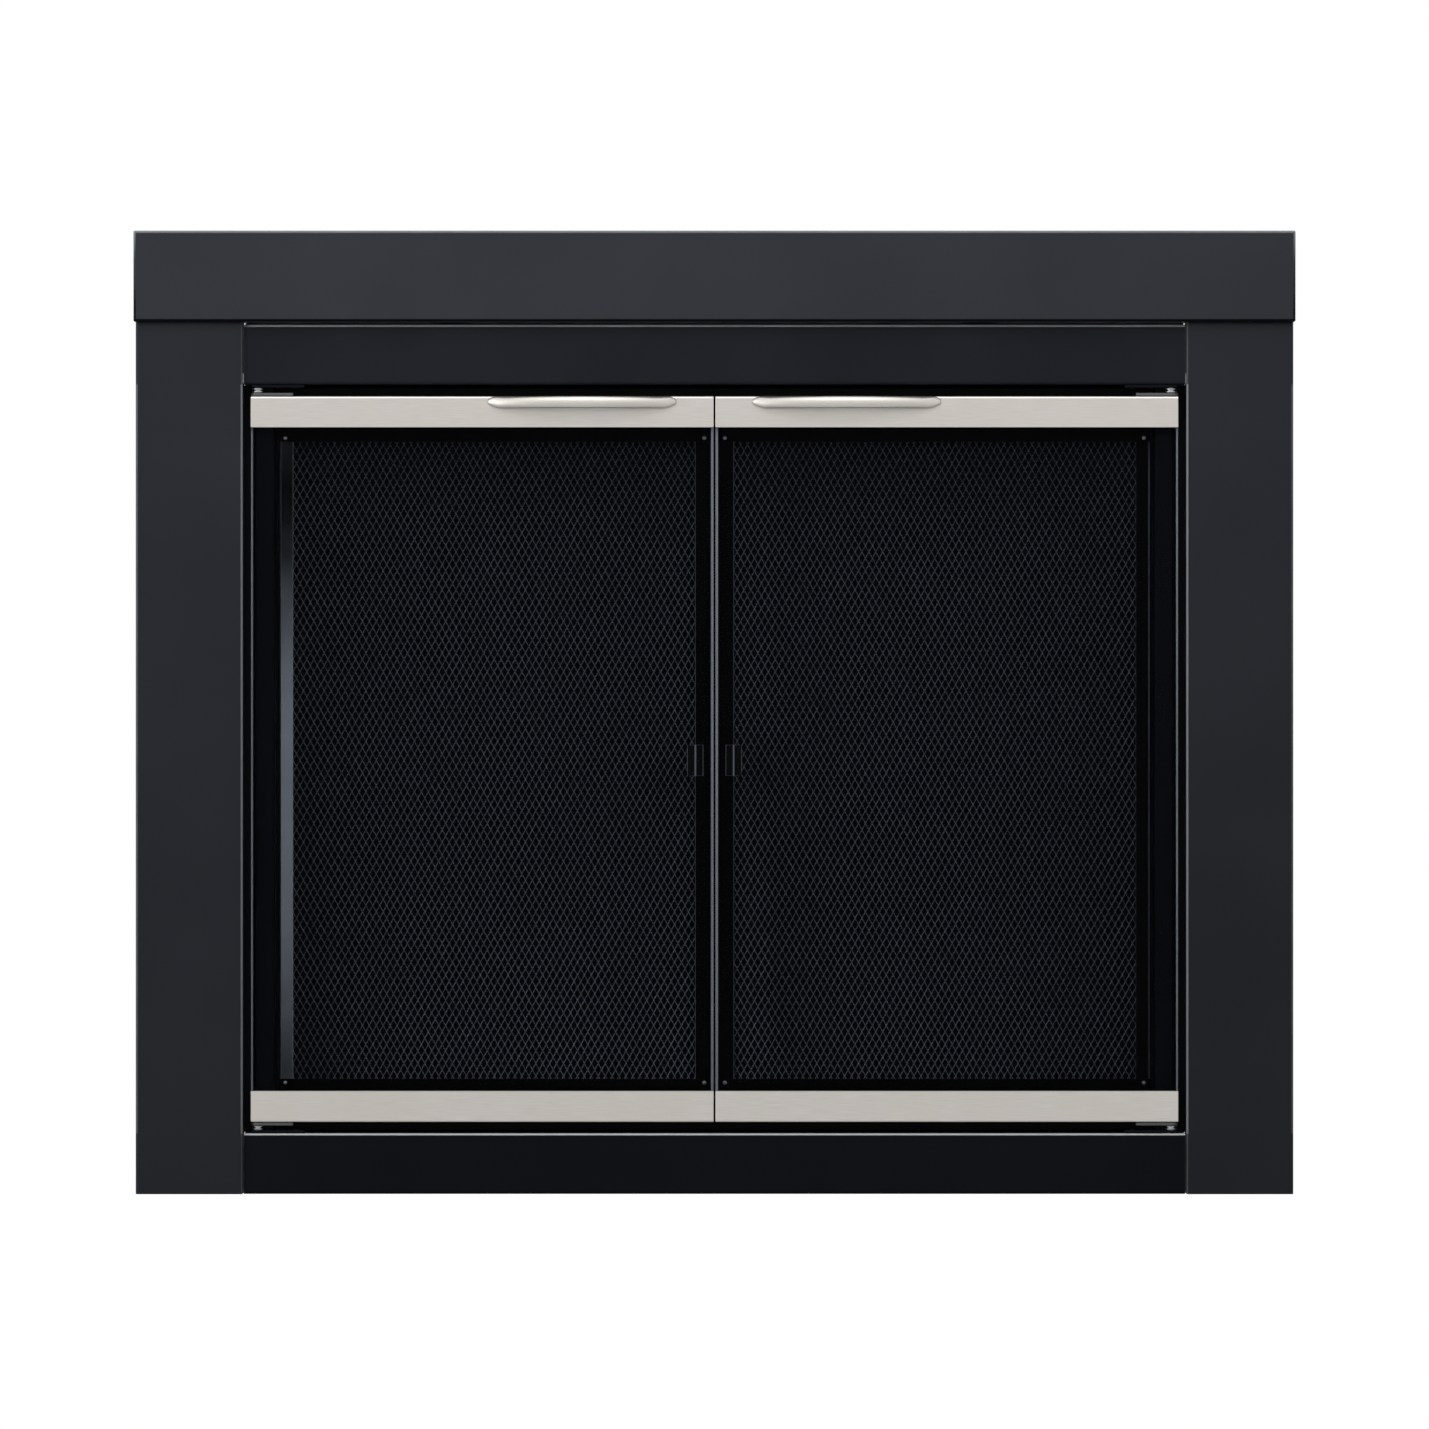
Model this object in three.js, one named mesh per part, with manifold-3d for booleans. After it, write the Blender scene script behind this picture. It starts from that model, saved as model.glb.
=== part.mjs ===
// A free-standing fireplace surround with a pair of glass doors and a pair of mesh doors behind them.
// Sizes are in millimetres. X runs to the right, Y to the back and Z up. Every depth is measured from
// the face of the fireplace that the surround stands against, and what stands in front of it is negative.
// The right half is built, and a mirrored copy of it is the left half.
import * as THREE from "three";
import { mergeVertices } from "three/addons/utils/BufferGeometryUtils.js";
import Module from "manifold-3d";

const wasm = await Module();
wasm.setup();

// ---------------------------------------------------------------- sizes

const clearance = 0.3; // left between two pieces that touch
const cutPast = 1; // how far a cut runs past the sheet that it goes through
const bendSteps = 3; // facets of each fold
const roundSteps = 16; // facets of a round pin or hole

// Surround
const overallWidth = 952.5;
const overallHeight = 790;
const headerHeight = 74.6;
const headerDepth = 42;
const headerOverhang = 1.5; // the header stands proud of the posts at each side
const postWidth = 87.7;
const postDepth = 36;
const postTabDepth = 26; // the tab folded in at each end of a post
const panelDepth = 33;
const topPanelHeight = 49.2;
const bottomPanelHeight = 49.7;
const headerReveal = 2; // the dark joint between the header and the top panel, closed at its rear
const panelEndGap = 0.8;
const surroundSheet = 1.5;
const surroundBend = 1; // inside radius of its folds
const rearLip = 12;
const footLip = 22; // the bottom panel's lower rear lip, which carries the floor brackets

// Inner frame, the stop behind the glass doors
const stopFront = 16.5; // in front of the fireplace face
const stopWidth = 18; // seen width of a jamb
const jambGap = 8.15; // from a post to the jamb beside it
const stopLip = 14.5; // from the stop's front back to the flange beside it
const throatDepth = 10; // how far the inner frame reaches into the fireplace
const jambTabDepth = 11;
const upperRailInset = 3.5; // the upper inner rail's throat is hidden this far behind the trim bars
const lowerRailInset = 5.6;

// Glass doors
const doorSideGap = 6.5;
const doorTopGap = 9.5;
const doorBottomGap = 9.1;
const doorCentreGap = 1.5;
const trimHeight = 25.5;
const trimDepth = 12;
const trimSheet = 1.2;
const trimBend = 0.6;
const trimFront = 32; // in front of the fireplace face
const glassThickness = 5;
const glassArris = 0.7; // the ground edge of the pane
const glassEndInset = 0.4;
const cushionWall = 1.7;
const cushionEndInset = 2;
const cushionMouthInset = 1.8;

// Bow handles
const handleLength = 155;
const handleHeight = 10;
const handleReach = 25;
const handleBar = 7; // thickness of the bar at its middle
const handleTip = 3; // thickness at its ends
const handleTopInset = 0.6; // below the top edge of the trim bar
const handleCentre = 108.6; // from the centre line of the surround
const handleFoot = 15; // length of each foot, which lies on the trim bar
const handleTaper = 7; // length of the narrowed ends
const handleTipHeight = 4;
const handleStations = 26;
const handleSides = 12;

// Glass door hinges
const pinInset = 5.55; // from the end of the trim bar to the pin
const leafThickness = 2.2;
const doorLeafLength = 34.5;
const frameLeafLength = 44;
const hingePinRadius = 2.5;
const hingeCollarRadius = 4.7;
const hingeGrooveRadius = 3.7;
const hingeGroove = 0.5;

// Mesh doors
const meshCentreGap = 4;
const meshSideGap = 2.5; // from the mesh door to the jamb
const meshEndGap = 2.3; // from the mesh door to the inner rails
const meshFront = 6; // in front of the fireplace face
const meshDepth = 10;
const meshRailWidth = 12.5;
const outerStileWidth = 11.5;
const innerStileWidth = 13.9;
const meshSheet = 1.2;
const meshBend = 0.6;
const meshRearLip = 6;
const meshPinInset = 5.8;
const meshPinRadius = 2;
const meshCollarRadius = 3.6;
const meshPinTail = 8; // length of the pin inside the door
const meshPinHead = 3.3; // length of the pin past the inner rail's upper or lower face

// Net
const netThickness = 1;
const netLap = 3; // lies behind the stiles and rails
const netColumns = 8;
const netRows = 7;
const netStrand = 2.6;

// Finger pulls
const pullHeight = 25.4;
const pullMiddle = 355.7; // above the hearth
const pullFootEdge = 9.3; // from the centre line to the free edge of the foot
const pullWebEdge = 16.2; // from the centre line to the web
const pullTipEdge = 22.4; // from the centre line to the tip of the lip
const pullReach = 12;
const pullCorner = 3;

// Fastenings to the fireplace and inside the surround
const bracketSheet = 2;
const bracketBend = 1.5;
const cornerBracketHeight = 30;
const cornerBracketLeg = 26;
const cornerBracketSideLeg = 22;
const floorBracketCentre = 250;
const floorBracketWidth = 30;
const floorBracketReach = 70;
const floorHoleRadius = 3.5;
const floorHoleSetback = 18; // from the end of the bracket
const clampCentre = 220;
const clampWidth = 25;
const clampSheet = 2.5;
const clampBend = 2;
const clampReach = 88;
const clampRise = 40;
const clampFrontInset = 3;
const clampBoltRise = 29;
const clampBoltRadius = 4;
const clampBoltGap = 60; // from the fireplace face to the tip of the bolt: the lintel it grips
const clampHeadRadius = 7.4;
const clampHeadHeight = 5.3;

// ---------------------------------------------------------------- places worked out from the sizes

const headerBottom = overallHeight - headerHeight;
const postOuter = overallWidth / 2 - headerOverhang;
const postInner = postOuter - postWidth;
const postTop = headerBottom - clearance;
const panelEnd = postInner - panelEndGap;
const topPanelTop = headerBottom - headerReveal;
const topPanelBottom = topPanelTop - topPanelHeight;

const doorOuter = postInner - doorSideGap;
const doorInner = doorCentreGap / 2;
const doorTop = topPanelBottom - doorTopGap;
const doorBottom = bottomPanelHeight + doorBottomGap;
const trimRear = trimFront - trimDepth;
const glassCentre = (trimFront + trimRear) / 2;
const topTrimMouth = doorTop - trimHeight;
const bottomTrimMouth = doorBottom + trimHeight;

const hingeX = doorOuter - pinInset;
const hingeDepth = glassCentre;

const jambOuter = postInner - jambGap;
const jambInner = jambOuter - stopWidth;
const jambTop = topPanelBottom - clearance;
const jambBottom = bottomPanelHeight + clearance;
const railTop = topTrimMouth + upperRailInset;
const railBottom = bottomTrimMouth - lowerRailInset;

const meshOuter = jambInner - meshSideGap;
const meshInner = meshCentreGap / 2;
const meshTop = railTop - meshEndGap;
const meshBottom = railBottom + meshEndGap;
const stileFront = meshFront - meshSheet - clearance;
const stileRear = meshFront - meshDepth + meshSheet + clearance;
const meshPinX = meshOuter - meshPinInset;
const meshPinDepth = (stileFront + stileRear) / 2;
const netFront = stileFront - meshSheet - clearance;

// ---------------------------------------------------------------- materials

const blackCoat = new THREE.MeshStandardMaterial({ color: 0x24272b, roughness: 0.5, metalness: 0.2 });
const nickel = new THREE.MeshStandardMaterial({ color: 0xc4bfb8, roughness: 0.38, metalness: 0.85 });
const glass = new THREE.MeshStandardMaterial({
  color: 0x3a4044,
  roughness: 0.04,
  metalness: 0,
  transparent: true,
  opacity: 0.35,
});
const blackNet = new THREE.MeshStandardMaterial({ color: 0x17191b, roughness: 0.6, metalness: 0.4 });
const plated = new THREE.MeshStandardMaterial({ color: 0xa9adb0, roughness: 0.35, metalness: 0.9 });
const cushionFelt = new THREE.MeshStandardMaterial({ color: 0x33322f, roughness: 0.95, metalness: 0 });

// ---------------------------------------------------------------- shaping

const X = new THREE.Vector3(1, 0, 0);
const Y = new THREE.Vector3(0, 1, 0);
const Z = new THREE.Vector3(0, 0, 1);
const towards = {
  x: new THREE.Matrix4().makeBasis(Y, Z, X), // an outline in (y, z), pushed along x
  y: new THREE.Matrix4().makeBasis(Z, X, Y), // an outline in (z, x), pushed along y
  z: new THREE.Matrix4(), // an outline in (x, y), pushed along z
};

function outline(points) {
  return new THREE.Shape(points.map(([a, b]) => new THREE.Vector2(a, b)));
}

// A closed geometry as a solid that can be joined and cut.
function solidOf(geometry) {
  const bare = geometry.index ? geometry.toNonIndexed() : geometry.clone();
  bare.deleteAttribute("normal");
  bare.deleteAttribute("uv");
  const merged = mergeVertices(bare, 1e-4);
  const vertProperties = merged.attributes.position.array;
  const triVerts = new Uint32Array(merged.index.array);
  return new wasm.Manifold(new wasm.Mesh({ numProp: 3, vertProperties, triVerts }));
}

function geometryOf(solid) {
  const { vertProperties, triVerts } = solid.getMesh();
  const geometry = new THREE.BufferGeometry();
  geometry.setAttribute("position", new THREE.BufferAttribute(vertProperties, 3));
  geometry.setIndex(new THREE.BufferAttribute(triVerts, 1));
  const faceted = geometry.toNonIndexed();
  faceted.computeVertexNormals();
  return faceted;
}

// Pushes a closed outline along an axis, from one place to another.
function push(axis, shape, from, to) {
  const settings = { depth: to - from, bevelEnabled: false, curveSegments: roundSteps / 2 };
  const geometry = new THREE.ExtrudeGeometry(shape, settings);
  geometry.translate(0, 0, from);
  geometry.applyMatrix4(towards[axis]);
  return solidOf(geometry);
}

// The section of a folded sheet. The path follows one face, and the sheet lies to the left of it.
function folded(path, sheet, insideRadius) {
  const corners = path.map(([a, b]) => new THREE.Vector2(a, b));
  const ways = corners.slice(1).map((corner, i) => corner.clone().sub(corners[i]).normalize());
  const face = [];
  const back = [];
  const put = (point, normal) => {
    face.push(point.clone());
    back.unshift(point.clone().addScaledVector(normal, sheet));
  };
  const leftOf = (way) => new THREE.Vector2(-way.y, way.x);
  put(corners[0], leftOf(ways[0]));
  for (let i = 1; i < corners.length - 1; i++) {
    const turn = Math.atan2(ways[i - 1].cross(ways[i]), ways[i - 1].dot(ways[i]));
    const side = Math.sign(turn);
    const radius = insideRadius + (side > 0 ? sheet : 0);
    const reach = radius * Math.tan(Math.abs(turn) / 2);
    const normal = leftOf(ways[i - 1]);
    const start = corners[i].clone().addScaledVector(ways[i - 1], -reach);
    const centre = start.addScaledVector(normal, side * radius);
    for (let step = 0; step <= bendSteps; step++) {
      const spoke = normal.clone().rotateAround(new THREE.Vector2(), (turn * step) / bendSteps);
      put(centre.clone().addScaledVector(spoke, -side * radius), spoke);
    }
  }
  put(corners.at(-1), leftOf(ways.at(-1)));
  return new THREE.Shape([...face, ...back]);
}

// An outline from low to high across, and from front to rear in depth, with its two front corners rounded.
function frontRounded(low, high, front, rear, radius) {
  const points = [[low, rear]];
  for (const [centre, start] of [
    [low + radius, Math.PI],
    [high - radius, 1.5 * Math.PI],
  ]) {
    for (let step = 0; step <= bendSteps; step++) {
      const angle = start + ((Math.PI / 2) * step) / bendSteps;
      points.push([centre + radius * Math.cos(angle), front + radius + radius * Math.sin(angle)]);
    }
  }
  points.push([high, rear]);
  return points;
}

// A block whose four front edges are rounded, as a folded tray's are.
function trayBlock(halfWidth, bottom, top, front, rear, radius) {
  const seenFromAbove = outline(frontRounded(-halfWidth, halfWidth, front, rear, radius));
  const seenFromTheEnd = outline(frontRounded(bottom, top, front, rear, radius).map(([z, y]) => [y, z]));
  return push("z", seenFromAbove, bottom, top).intersect(push("x", seenFromTheEnd, -halfWidth, halfWidth));
}

function rectangle(x0, x1, y0, y1) {
  return outline([
    [x0, y0],
    [x1, y0],
    [x1, y1],
    [x0, y1],
  ]);
}

// A round rod or hole along z.
function rod(x, y, from, to, radius) {
  const circle = new THREE.Shape();
  circle.absarc(x, y, radius, 0, 2 * Math.PI);
  return push("z", circle, from, to);
}

// A turned pin along z, from [radius, height] steps that start and end on the axis.
function turned(steps) {
  const points = steps.map(([radius, height]) => new THREE.Vector2(radius, height));
  const geometry = new THREE.LatheGeometry(points, roundSteps);
  geometry.rotateX(Math.PI / 2);
  return geometry;
}

// A closed skin over rings of the same number of points, with a flat cap on each end ring.
function loft(rings) {
  const around = rings[0].length;
  const positions = rings.flat(2);
  const index = [];
  for (let r = 0; r + 1 < rings.length; r++) {
    for (let i = 0; i < around; i++) {
      const a = r * around + i;
      const b = r * around + ((i + 1) % around);
      index.push(a, a + around, b, b, a + around, b + around);
    }
  }
  const last = (rings.length - 1) * around;
  for (let i = 1; i + 1 < around; i++) {
    index.push(0, i, i + 1, last, last + i + 1, last + i);
  }
  const geometry = new THREE.BufferGeometry();
  geometry.setAttribute("position", new THREE.Float32BufferAttribute(positions, 3));
  geometry.setIndex(index);
  return geometry;
}

function piece(name, shape, material) {
  const geometry = shape.isBufferGeometry ? shape : geometryOf(shape);
  const mesh = new THREE.Mesh(geometry, material);
  mesh.name = name;
  return mesh;
}

// ---------------------------------------------------------------- surround

// The header is one tray folded from a sheet: closed in front, above, below and at both ends. A strip of its
// rear lip reaches down behind the joint to the top panel and closes it.
function header() {
  const outerRadius = surroundBend + surroundSheet;
  const half = overallWidth / 2;
  const tray = trayBlock(half, headerBottom, overallHeight, -headerDepth, 0, outerRadius);
  const hollow = trayBlock(
    half - surroundSheet,
    headerBottom + surroundSheet,
    overallHeight - surroundSheet,
    -headerDepth + surroundSheet,
    -surroundSheet,
    surroundBend,
  );
  const windowSide = rectangle(-half + rearLip, half - rearLip, -surroundSheet - cutPast, cutPast);
  const rearWindow = push("z", windowSide, headerBottom + rearLip, overallHeight - rearLip);
  const strip = rectangle(-panelEnd, panelEnd, -surroundSheet, 0);
  const closing = push("z", strip, topPanelTop + clearance, headerBottom + surroundSheet);
  return tray.subtract(hollow).subtract(rearWindow).add(closing);
}

// A post is a channel with lips at the rear and a tab folded in at its top and its foot.
function post() {
  const channel = folded(
    [
      [postInner + rearLip, 0],
      [postInner, 0],
      [postInner, -postDepth],
      [postOuter, -postDepth],
      [postOuter, 0],
      [postOuter - rearLip, 0],
    ],
    surroundSheet,
    surroundBend,
  );
  const inside = surroundSheet + clearance;
  const tab = rectangle(
    postInner + inside,
    postOuter - inside,
    -postDepth + surroundSheet / 2,
    -postDepth + postTabDepth,
  );
  return push("z", channel, 0, postTop)
    .add(push("z", tab, 0, surroundSheet))
    .add(push("z", tab, postTop - surroundSheet, postTop));
}

// The top panel leaves its lower return open at the rear, so that the lintel clamps lie on it.
function topPanel() {
  const section = folded(
    [
      [0, topPanelTop - rearLip],
      [0, topPanelTop],
      [-panelDepth, topPanelTop],
      [-panelDepth, topPanelBottom],
      [0, topPanelBottom],
    ],
    surroundSheet,
    surroundBend,
  );
  return push("x", section, -panelEnd, panelEnd);
}

function bottomPanel() {
  const section = folded(
    [
      [0, bottomPanelHeight - rearLip],
      [0, bottomPanelHeight],
      [-panelDepth, bottomPanelHeight],
      [-panelDepth, 0],
      [0, 0],
      [0, footLip],
    ],
    surroundSheet,
    surroundBend,
  );
  return push("x", section, -panelEnd, panelEnd);
}

// An angle in the end of a panel, which ties it to the post.
function cornerBracket(middle) {
  const front = -panelDepth + surroundSheet + clearance;
  const side = postInner - clearance;
  const section = folded(
    [
      [side - cornerBracketLeg, front],
      [side, front],
      [side, front + cornerBracketSideLeg],
    ],
    bracketSheet,
    bracketBend,
  );
  return push("z", section, middle - cornerBracketHeight / 2, middle + cornerBracketHeight / 2);
}

// ---------------------------------------------------------------- inner frame

// A jamb's section runs from its throat across the stop, and back to a flange that closes the gap to the post.
function jamb() {
  const section = folded(
    [
      [jambInner, throatDepth],
      [jambInner, -stopFront],
      [jambOuter, -stopFront],
      [jambOuter, -stopFront + stopLip],
      [postInner - clearance, -stopFront + stopLip],
    ],
    surroundSheet,
    surroundBend,
  );
  const inside = surroundSheet + clearance;
  const tab = rectangle(
    jambInner + inside,
    jambOuter - inside,
    -stopFront + surroundSheet / 2,
    -stopFront + jambTabDepth,
  );
  return push("z", section, jambBottom, jambTop)
    .add(push("z", tab, jambBottom, jambBottom + surroundSheet))
    .add(push("z", tab, jambTop - surroundSheet, jambTop));
}

// The inner rails span from jamb to jamb. Each mesh door's pins turn in a hole of theirs.
function innerRail(throat, seat) {
  const upwards = seat > throat;
  const path = [
    [-stopFront + stopLip, seat],
    [-stopFront, seat],
    [-stopFront, throat],
    [throatDepth, throat],
  ];
  const section = folded(upwards ? path : path.reverse(), surroundSheet, surroundBend);
  const end = jambInner - clearance;
  const low = upwards ? throat - cutPast : throat - surroundSheet - cutPast;
  const high = upwards ? throat + surroundSheet + cutPast : throat + cutPast;
  const hole = (x) => rod(x, -meshPinDepth, low, high, meshPinRadius + clearance);
  return push("x", section, -end, end).subtract(hole(-meshPinX)).subtract(hole(meshPinX));
}

// ---------------------------------------------------------------- fastenings to the fireplace

function floorBracket() {
  const rear = clearance + floorBracketReach;
  const section = folded(
    [
      [rear, bracketSheet],
      [clearance + bracketSheet, bracketSheet],
      [clearance + bracketSheet, footLip],
    ],
    bracketSheet,
    bracketBend,
  );
  const low = floorBracketCentre - floorBracketWidth / 2;
  const bracket = push("x", section, low, low + floorBracketWidth);
  const holeDepth = rear - floorHoleSetback;
  const hole = rod(floorBracketCentre, holeDepth, -cutPast, bracketSheet + cutPast, floorHoleRadius);
  return bracket.subtract(hole);
}

// A strap that lies on the top panel's lower return and turns up behind the lintel.
function lintelClamp() {
  const bottom = topPanelBottom + surroundSheet + clearance;
  const section = folded(
    [
      [-panelDepth + surroundSheet + clampFrontInset, bottom],
      [clampReach, bottom],
      [clampReach, bottom + clampRise],
    ],
    clampSheet,
    clampBend,
  );
  const low = clampCentre - clampWidth / 2;
  const strap = push("x", section, low, low + clampWidth);
  const circle = new THREE.Shape();
  circle.absarc(bottom + clampBoltRise, clampCentre, clampBoltRadius + clearance, 0, 2 * Math.PI);
  return strap.subtract(push("y", circle, clampReach - clampSheet - cutPast, clampReach + cutPast));
}

// The clamp's bolt points to the front, with its six-sided head behind the strap.
function clampBolt() {
  const axisHeight = topPanelBottom + surroundSheet + clearance + clampBoltRise;
  const circle = new THREE.Shape();
  circle.absarc(axisHeight, clampCentre, clampBoltRadius, 0, 2 * Math.PI);
  const corners = Array.from({ length: 6 }, (_, i) => (i * Math.PI) / 3);
  const hexagon = outline(
    corners.map((angle) => [
      axisHeight + clampHeadRadius * Math.cos(angle),
      clampCentre + clampHeadRadius * Math.sin(angle),
    ]),
  );
  const headFront = clampReach + clearance;
  const shank = push("y", circle, clampBoltGap, headFront + clampHeadHeight / 2);
  return shank.add(push("y", hexagon, headFront, headFront + clampHeadHeight));
}

// ---------------------------------------------------------------- glass doors

const cushionSkin = trimSheet + clearance; // from the outside of a trim bar to its cushion strip
const paneInset = cushionSkin + cushionWall + clearance; // from the outside of a trim bar to the pane

// A trim bar is a channel with its mouth towards the pane.
function trimBar(back, mouth) {
  const path = [
    [-trimRear, mouth],
    [-trimRear, back],
    [-trimFront, back],
    [-trimFront, mouth],
  ];
  const section = folded(back > mouth ? path : path.reverse(), trimSheet, trimBend);
  return push("x", section, doorInner, doorOuter);
}

// A cushion strip is a channel too. It lines the trim bar and grips the pane.
function cushionStrip(back, mouth) {
  const inwards = Math.sign(mouth - back);
  const slot = glassThickness / 2 + clearance;
  const outer = slot + cushionWall;
  const bottom = back + inwards * cushionSkin;
  const floor = bottom + inwards * cushionWall;
  const lip = mouth - inwards * cushionMouthInset;
  const section = outline([
    [-glassCentre - outer, bottom],
    [-glassCentre + outer, bottom],
    [-glassCentre + outer, lip],
    [-glassCentre + slot, lip],
    [-glassCentre + slot, floor],
    [-glassCentre - slot, floor],
    [-glassCentre - slot, lip],
    [-glassCentre - outer, lip],
  ]);
  return push("x", section, doorInner + cushionEndInset, doorOuter - cushionEndInset);
}

// The pane's upright edges are ground to a small arris.
function glassPane() {
  const left = doorInner + glassEndInset;
  const right = doorOuter - glassEndInset;
  const front = -glassCentre - glassThickness / 2;
  const rear = -glassCentre + glassThickness / 2;
  const section = outline([
    [left + glassArris, front],
    [right - glassArris, front],
    [right, front + glassArris],
    [right, rear - glassArris],
    [right - glassArris, rear],
    [left + glassArris, rear],
    [left, rear - glassArris],
    [left, front + glassArris],
  ]);
  return push("z", section, doorBottom + paneInset, doorTop - paneInset);
}

// The bow of a handle, as seen from above: its outer face swells to the full reach at the middle, and its
// inner face leaves a finger gap between the two feet. Its section is a rounded bar.
function handle() {
  const middleHeight = doorTop - handleTopInset - handleHeight / 2;
  const half = handleLength / 2;
  const gapHalf = half - handleFoot;
  const seat = trimFront + clearance;
  const rings = [];
  for (let station = 0; station <= handleStations; station++) {
    const along = half * Math.sin((Math.PI / 2) * ((2 * station) / handleStations - 1));
    const swell = 1 - (along / half) ** 2;
    const gapSwell = Math.max(0, 1 - (along / gapHalf) ** 2);
    const outer = handleTip + (handleReach - handleTip) * swell;
    const inner = (handleReach - handleBar) * gapSwell;
    const fade = Math.min(1, (half - Math.abs(along)) / handleTaper);
    const height = handleTipHeight + (handleHeight - handleTipHeight) * Math.sqrt(fade);
    rings.push(
      Array.from({ length: handleSides }, (_, i) => {
        const angle = ((i + 0.5) * 2 * Math.PI) / handleSides;
        const blunt = (value) => Math.sign(value) * Math.sqrt(Math.abs(value));
        const depth = seat + (outer + inner) / 2 + (blunt(Math.cos(angle)) * (outer - inner)) / 2;
        return [handleCentre + along, -depth, middleHeight + (blunt(Math.sin(angle)) * height) / 2];
      }),
    );
  }
  return loft(rings);
}

// A hinge leaf with a half-round end about the pin. The other end is square.
function leafOutline(length, front, rear, endRadius) {
  const shape = new THREE.Shape();
  const squareEnd = doorOuter - length;
  shape.moveTo(squareEnd, front);
  shape.lineTo(doorOuter - endRadius, front);
  shape.absarc(doorOuter - endRadius, front + endRadius, endRadius, -Math.PI / 2, 0);
  shape.absarc(doorOuter - endRadius, rear - endRadius, endRadius, 0, Math.PI / 2);
  shape.lineTo(squareEnd, rear);
  shape.closePath();
  return shape;
}

function hingeLeaf(length, rear, from, endRadius) {
  const front = -hingeDepth - pinInset;
  const top = from + leafThickness;
  const leaf = push("z", leafOutline(length, front, rear, endRadius), from, top);
  return leaf.subtract(rod(hingeX, -hingeDepth, from - cutPast, top + cutPast, hingePinRadius + clearance));
}

// A stepped pin: it passes through the leaf at each of its ends, and two collars with a groove between them
// keep the leaves apart.
function hingePin(gap) {
  const end = gap / 2 - clearance;
  const collar = end - leafThickness - clearance;
  return turned([
    [0, -end],
    [hingePinRadius, -end],
    [hingePinRadius, -collar],
    [hingeCollarRadius, -collar],
    [hingeCollarRadius, -hingeGroove / 2],
    [hingeGrooveRadius, -hingeGroove / 2],
    [hingeGrooveRadius, hingeGroove / 2],
    [hingeCollarRadius, hingeGroove / 2],
    [hingeCollarRadius, collar],
    [hingePinRadius, collar],
    [hingePinRadius, end],
    [0, end],
  ]);
}

// ---------------------------------------------------------------- mesh doors

function meshRail(back, mouth) {
  const rear = -meshFront + meshDepth;
  const inwards = Math.sign(mouth - back);
  const path = [
    [rear, back + inwards * meshRearLip],
    [rear, back],
    [-meshFront, back],
    [-meshFront, mouth],
  ];
  const section = folded(back > mouth ? path : path.reverse(), meshSheet, meshBend);
  const rail = push("x", section, meshInner, meshOuter);
  const through = meshSheet + cutPast;
  const hole = rod(meshPinX, -meshPinDepth, back - through, back + through, meshPinRadius + clearance);
  return rail.subtract(hole);
}

// A stile is a channel with its mouth towards the net. Its ends lie inside the rails.
function stile(back, mouth) {
  const inwards = Math.sign(mouth - back);
  const path = [
    [back + inwards * meshRearLip, -stileRear],
    [back, -stileRear],
    [back, -stileFront],
    [mouth, -stileFront],
  ];
  const section = folded(back < mouth ? path : path.reverse(), meshSheet, meshBend);
  const end = meshSheet + clearance;
  return push("z", section, meshBottom + end, meshTop - end);
}

// The net is a sheet slit and drawn open into upright diamonds: whole ones in the field, and halves
// along its four edges.
function net() {
  const left = meshInner + innerStileWidth;
  const right = meshOuter - outerStileWidth;
  const bottom = meshBottom + meshRailWidth;
  const top = meshTop - meshRailWidth;
  const stepX = (right - left) / netColumns / 2;
  const stepZ = (top - bottom) / netRows / 2;
  const slope = Math.hypot(stepX, stepZ);
  const holeX = stepX - (netStrand / 2) * (slope / stepZ);
  const holeZ = stepZ - (netStrand / 2) * (slope / stepX);
  const inField = ([z, x]) =>
    x > left - clearance && x < right + clearance && z > bottom - clearance && z < top + clearance;
  const holes = [];
  const holeFront = -netFront - cutPast;
  const holeRear = -netFront + netThickness + cutPast;
  for (let column = 0; column <= 2 * netColumns; column++) {
    for (let row = 1 - (column % 2); row <= 2 * netRows; row += 2) {
      const x = left + column * stepX;
      const z = bottom + row * stepZ;
      const diamond = [
        [z - holeZ, x],
        [z, x + holeX],
        [z + holeZ, x],
        [z, x - holeX],
      ];
      holes.push(push("y", outline(diamond.filter(inField)), holeFront, holeRear));
    }
  }
  const sheet = rectangle(bottom - netLap, top + netLap, left - netLap, right + netLap);
  return push("y", sheet, -netFront, -netFront + netThickness).subtract(wasm.Manifold.union(holes));
}

// A strip folded into a step: its foot lies on the inner stile and its lip takes a finger.
function meshPull() {
  const foot = stileFront + clearance;
  const lip = foot + pullReach;
  const section = folded(
    [
      [pullFootEdge, -foot - meshSheet],
      [pullWebEdge - meshSheet, -foot - meshSheet],
      [pullWebEdge - meshSheet, -lip],
      [pullTipEdge, -lip],
    ],
    meshSheet,
    meshBend,
  );
  const low = pullMiddle - pullHeight / 2;
  const high = pullMiddle + pullHeight / 2;
  const strip = push("z", section, low, high);
  const seenFromFront = new THREE.Shape();
  seenFromFront.moveTo(low, pullFootEdge);
  seenFromFront.lineTo(low, pullTipEdge - pullCorner);
  seenFromFront.absarc(low + pullCorner, pullTipEdge - pullCorner, pullCorner, Math.PI, Math.PI / 2, true);
  seenFromFront.absarc(high - pullCorner, pullTipEdge - pullCorner, pullCorner, Math.PI / 2, 0, true);
  seenFromFront.lineTo(high, pullFootEdge);
  seenFromFront.closePath();
  return strip.intersect(push("y", seenFromFront, -lip - meshSheet, -foot + meshSheet));
}

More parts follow.
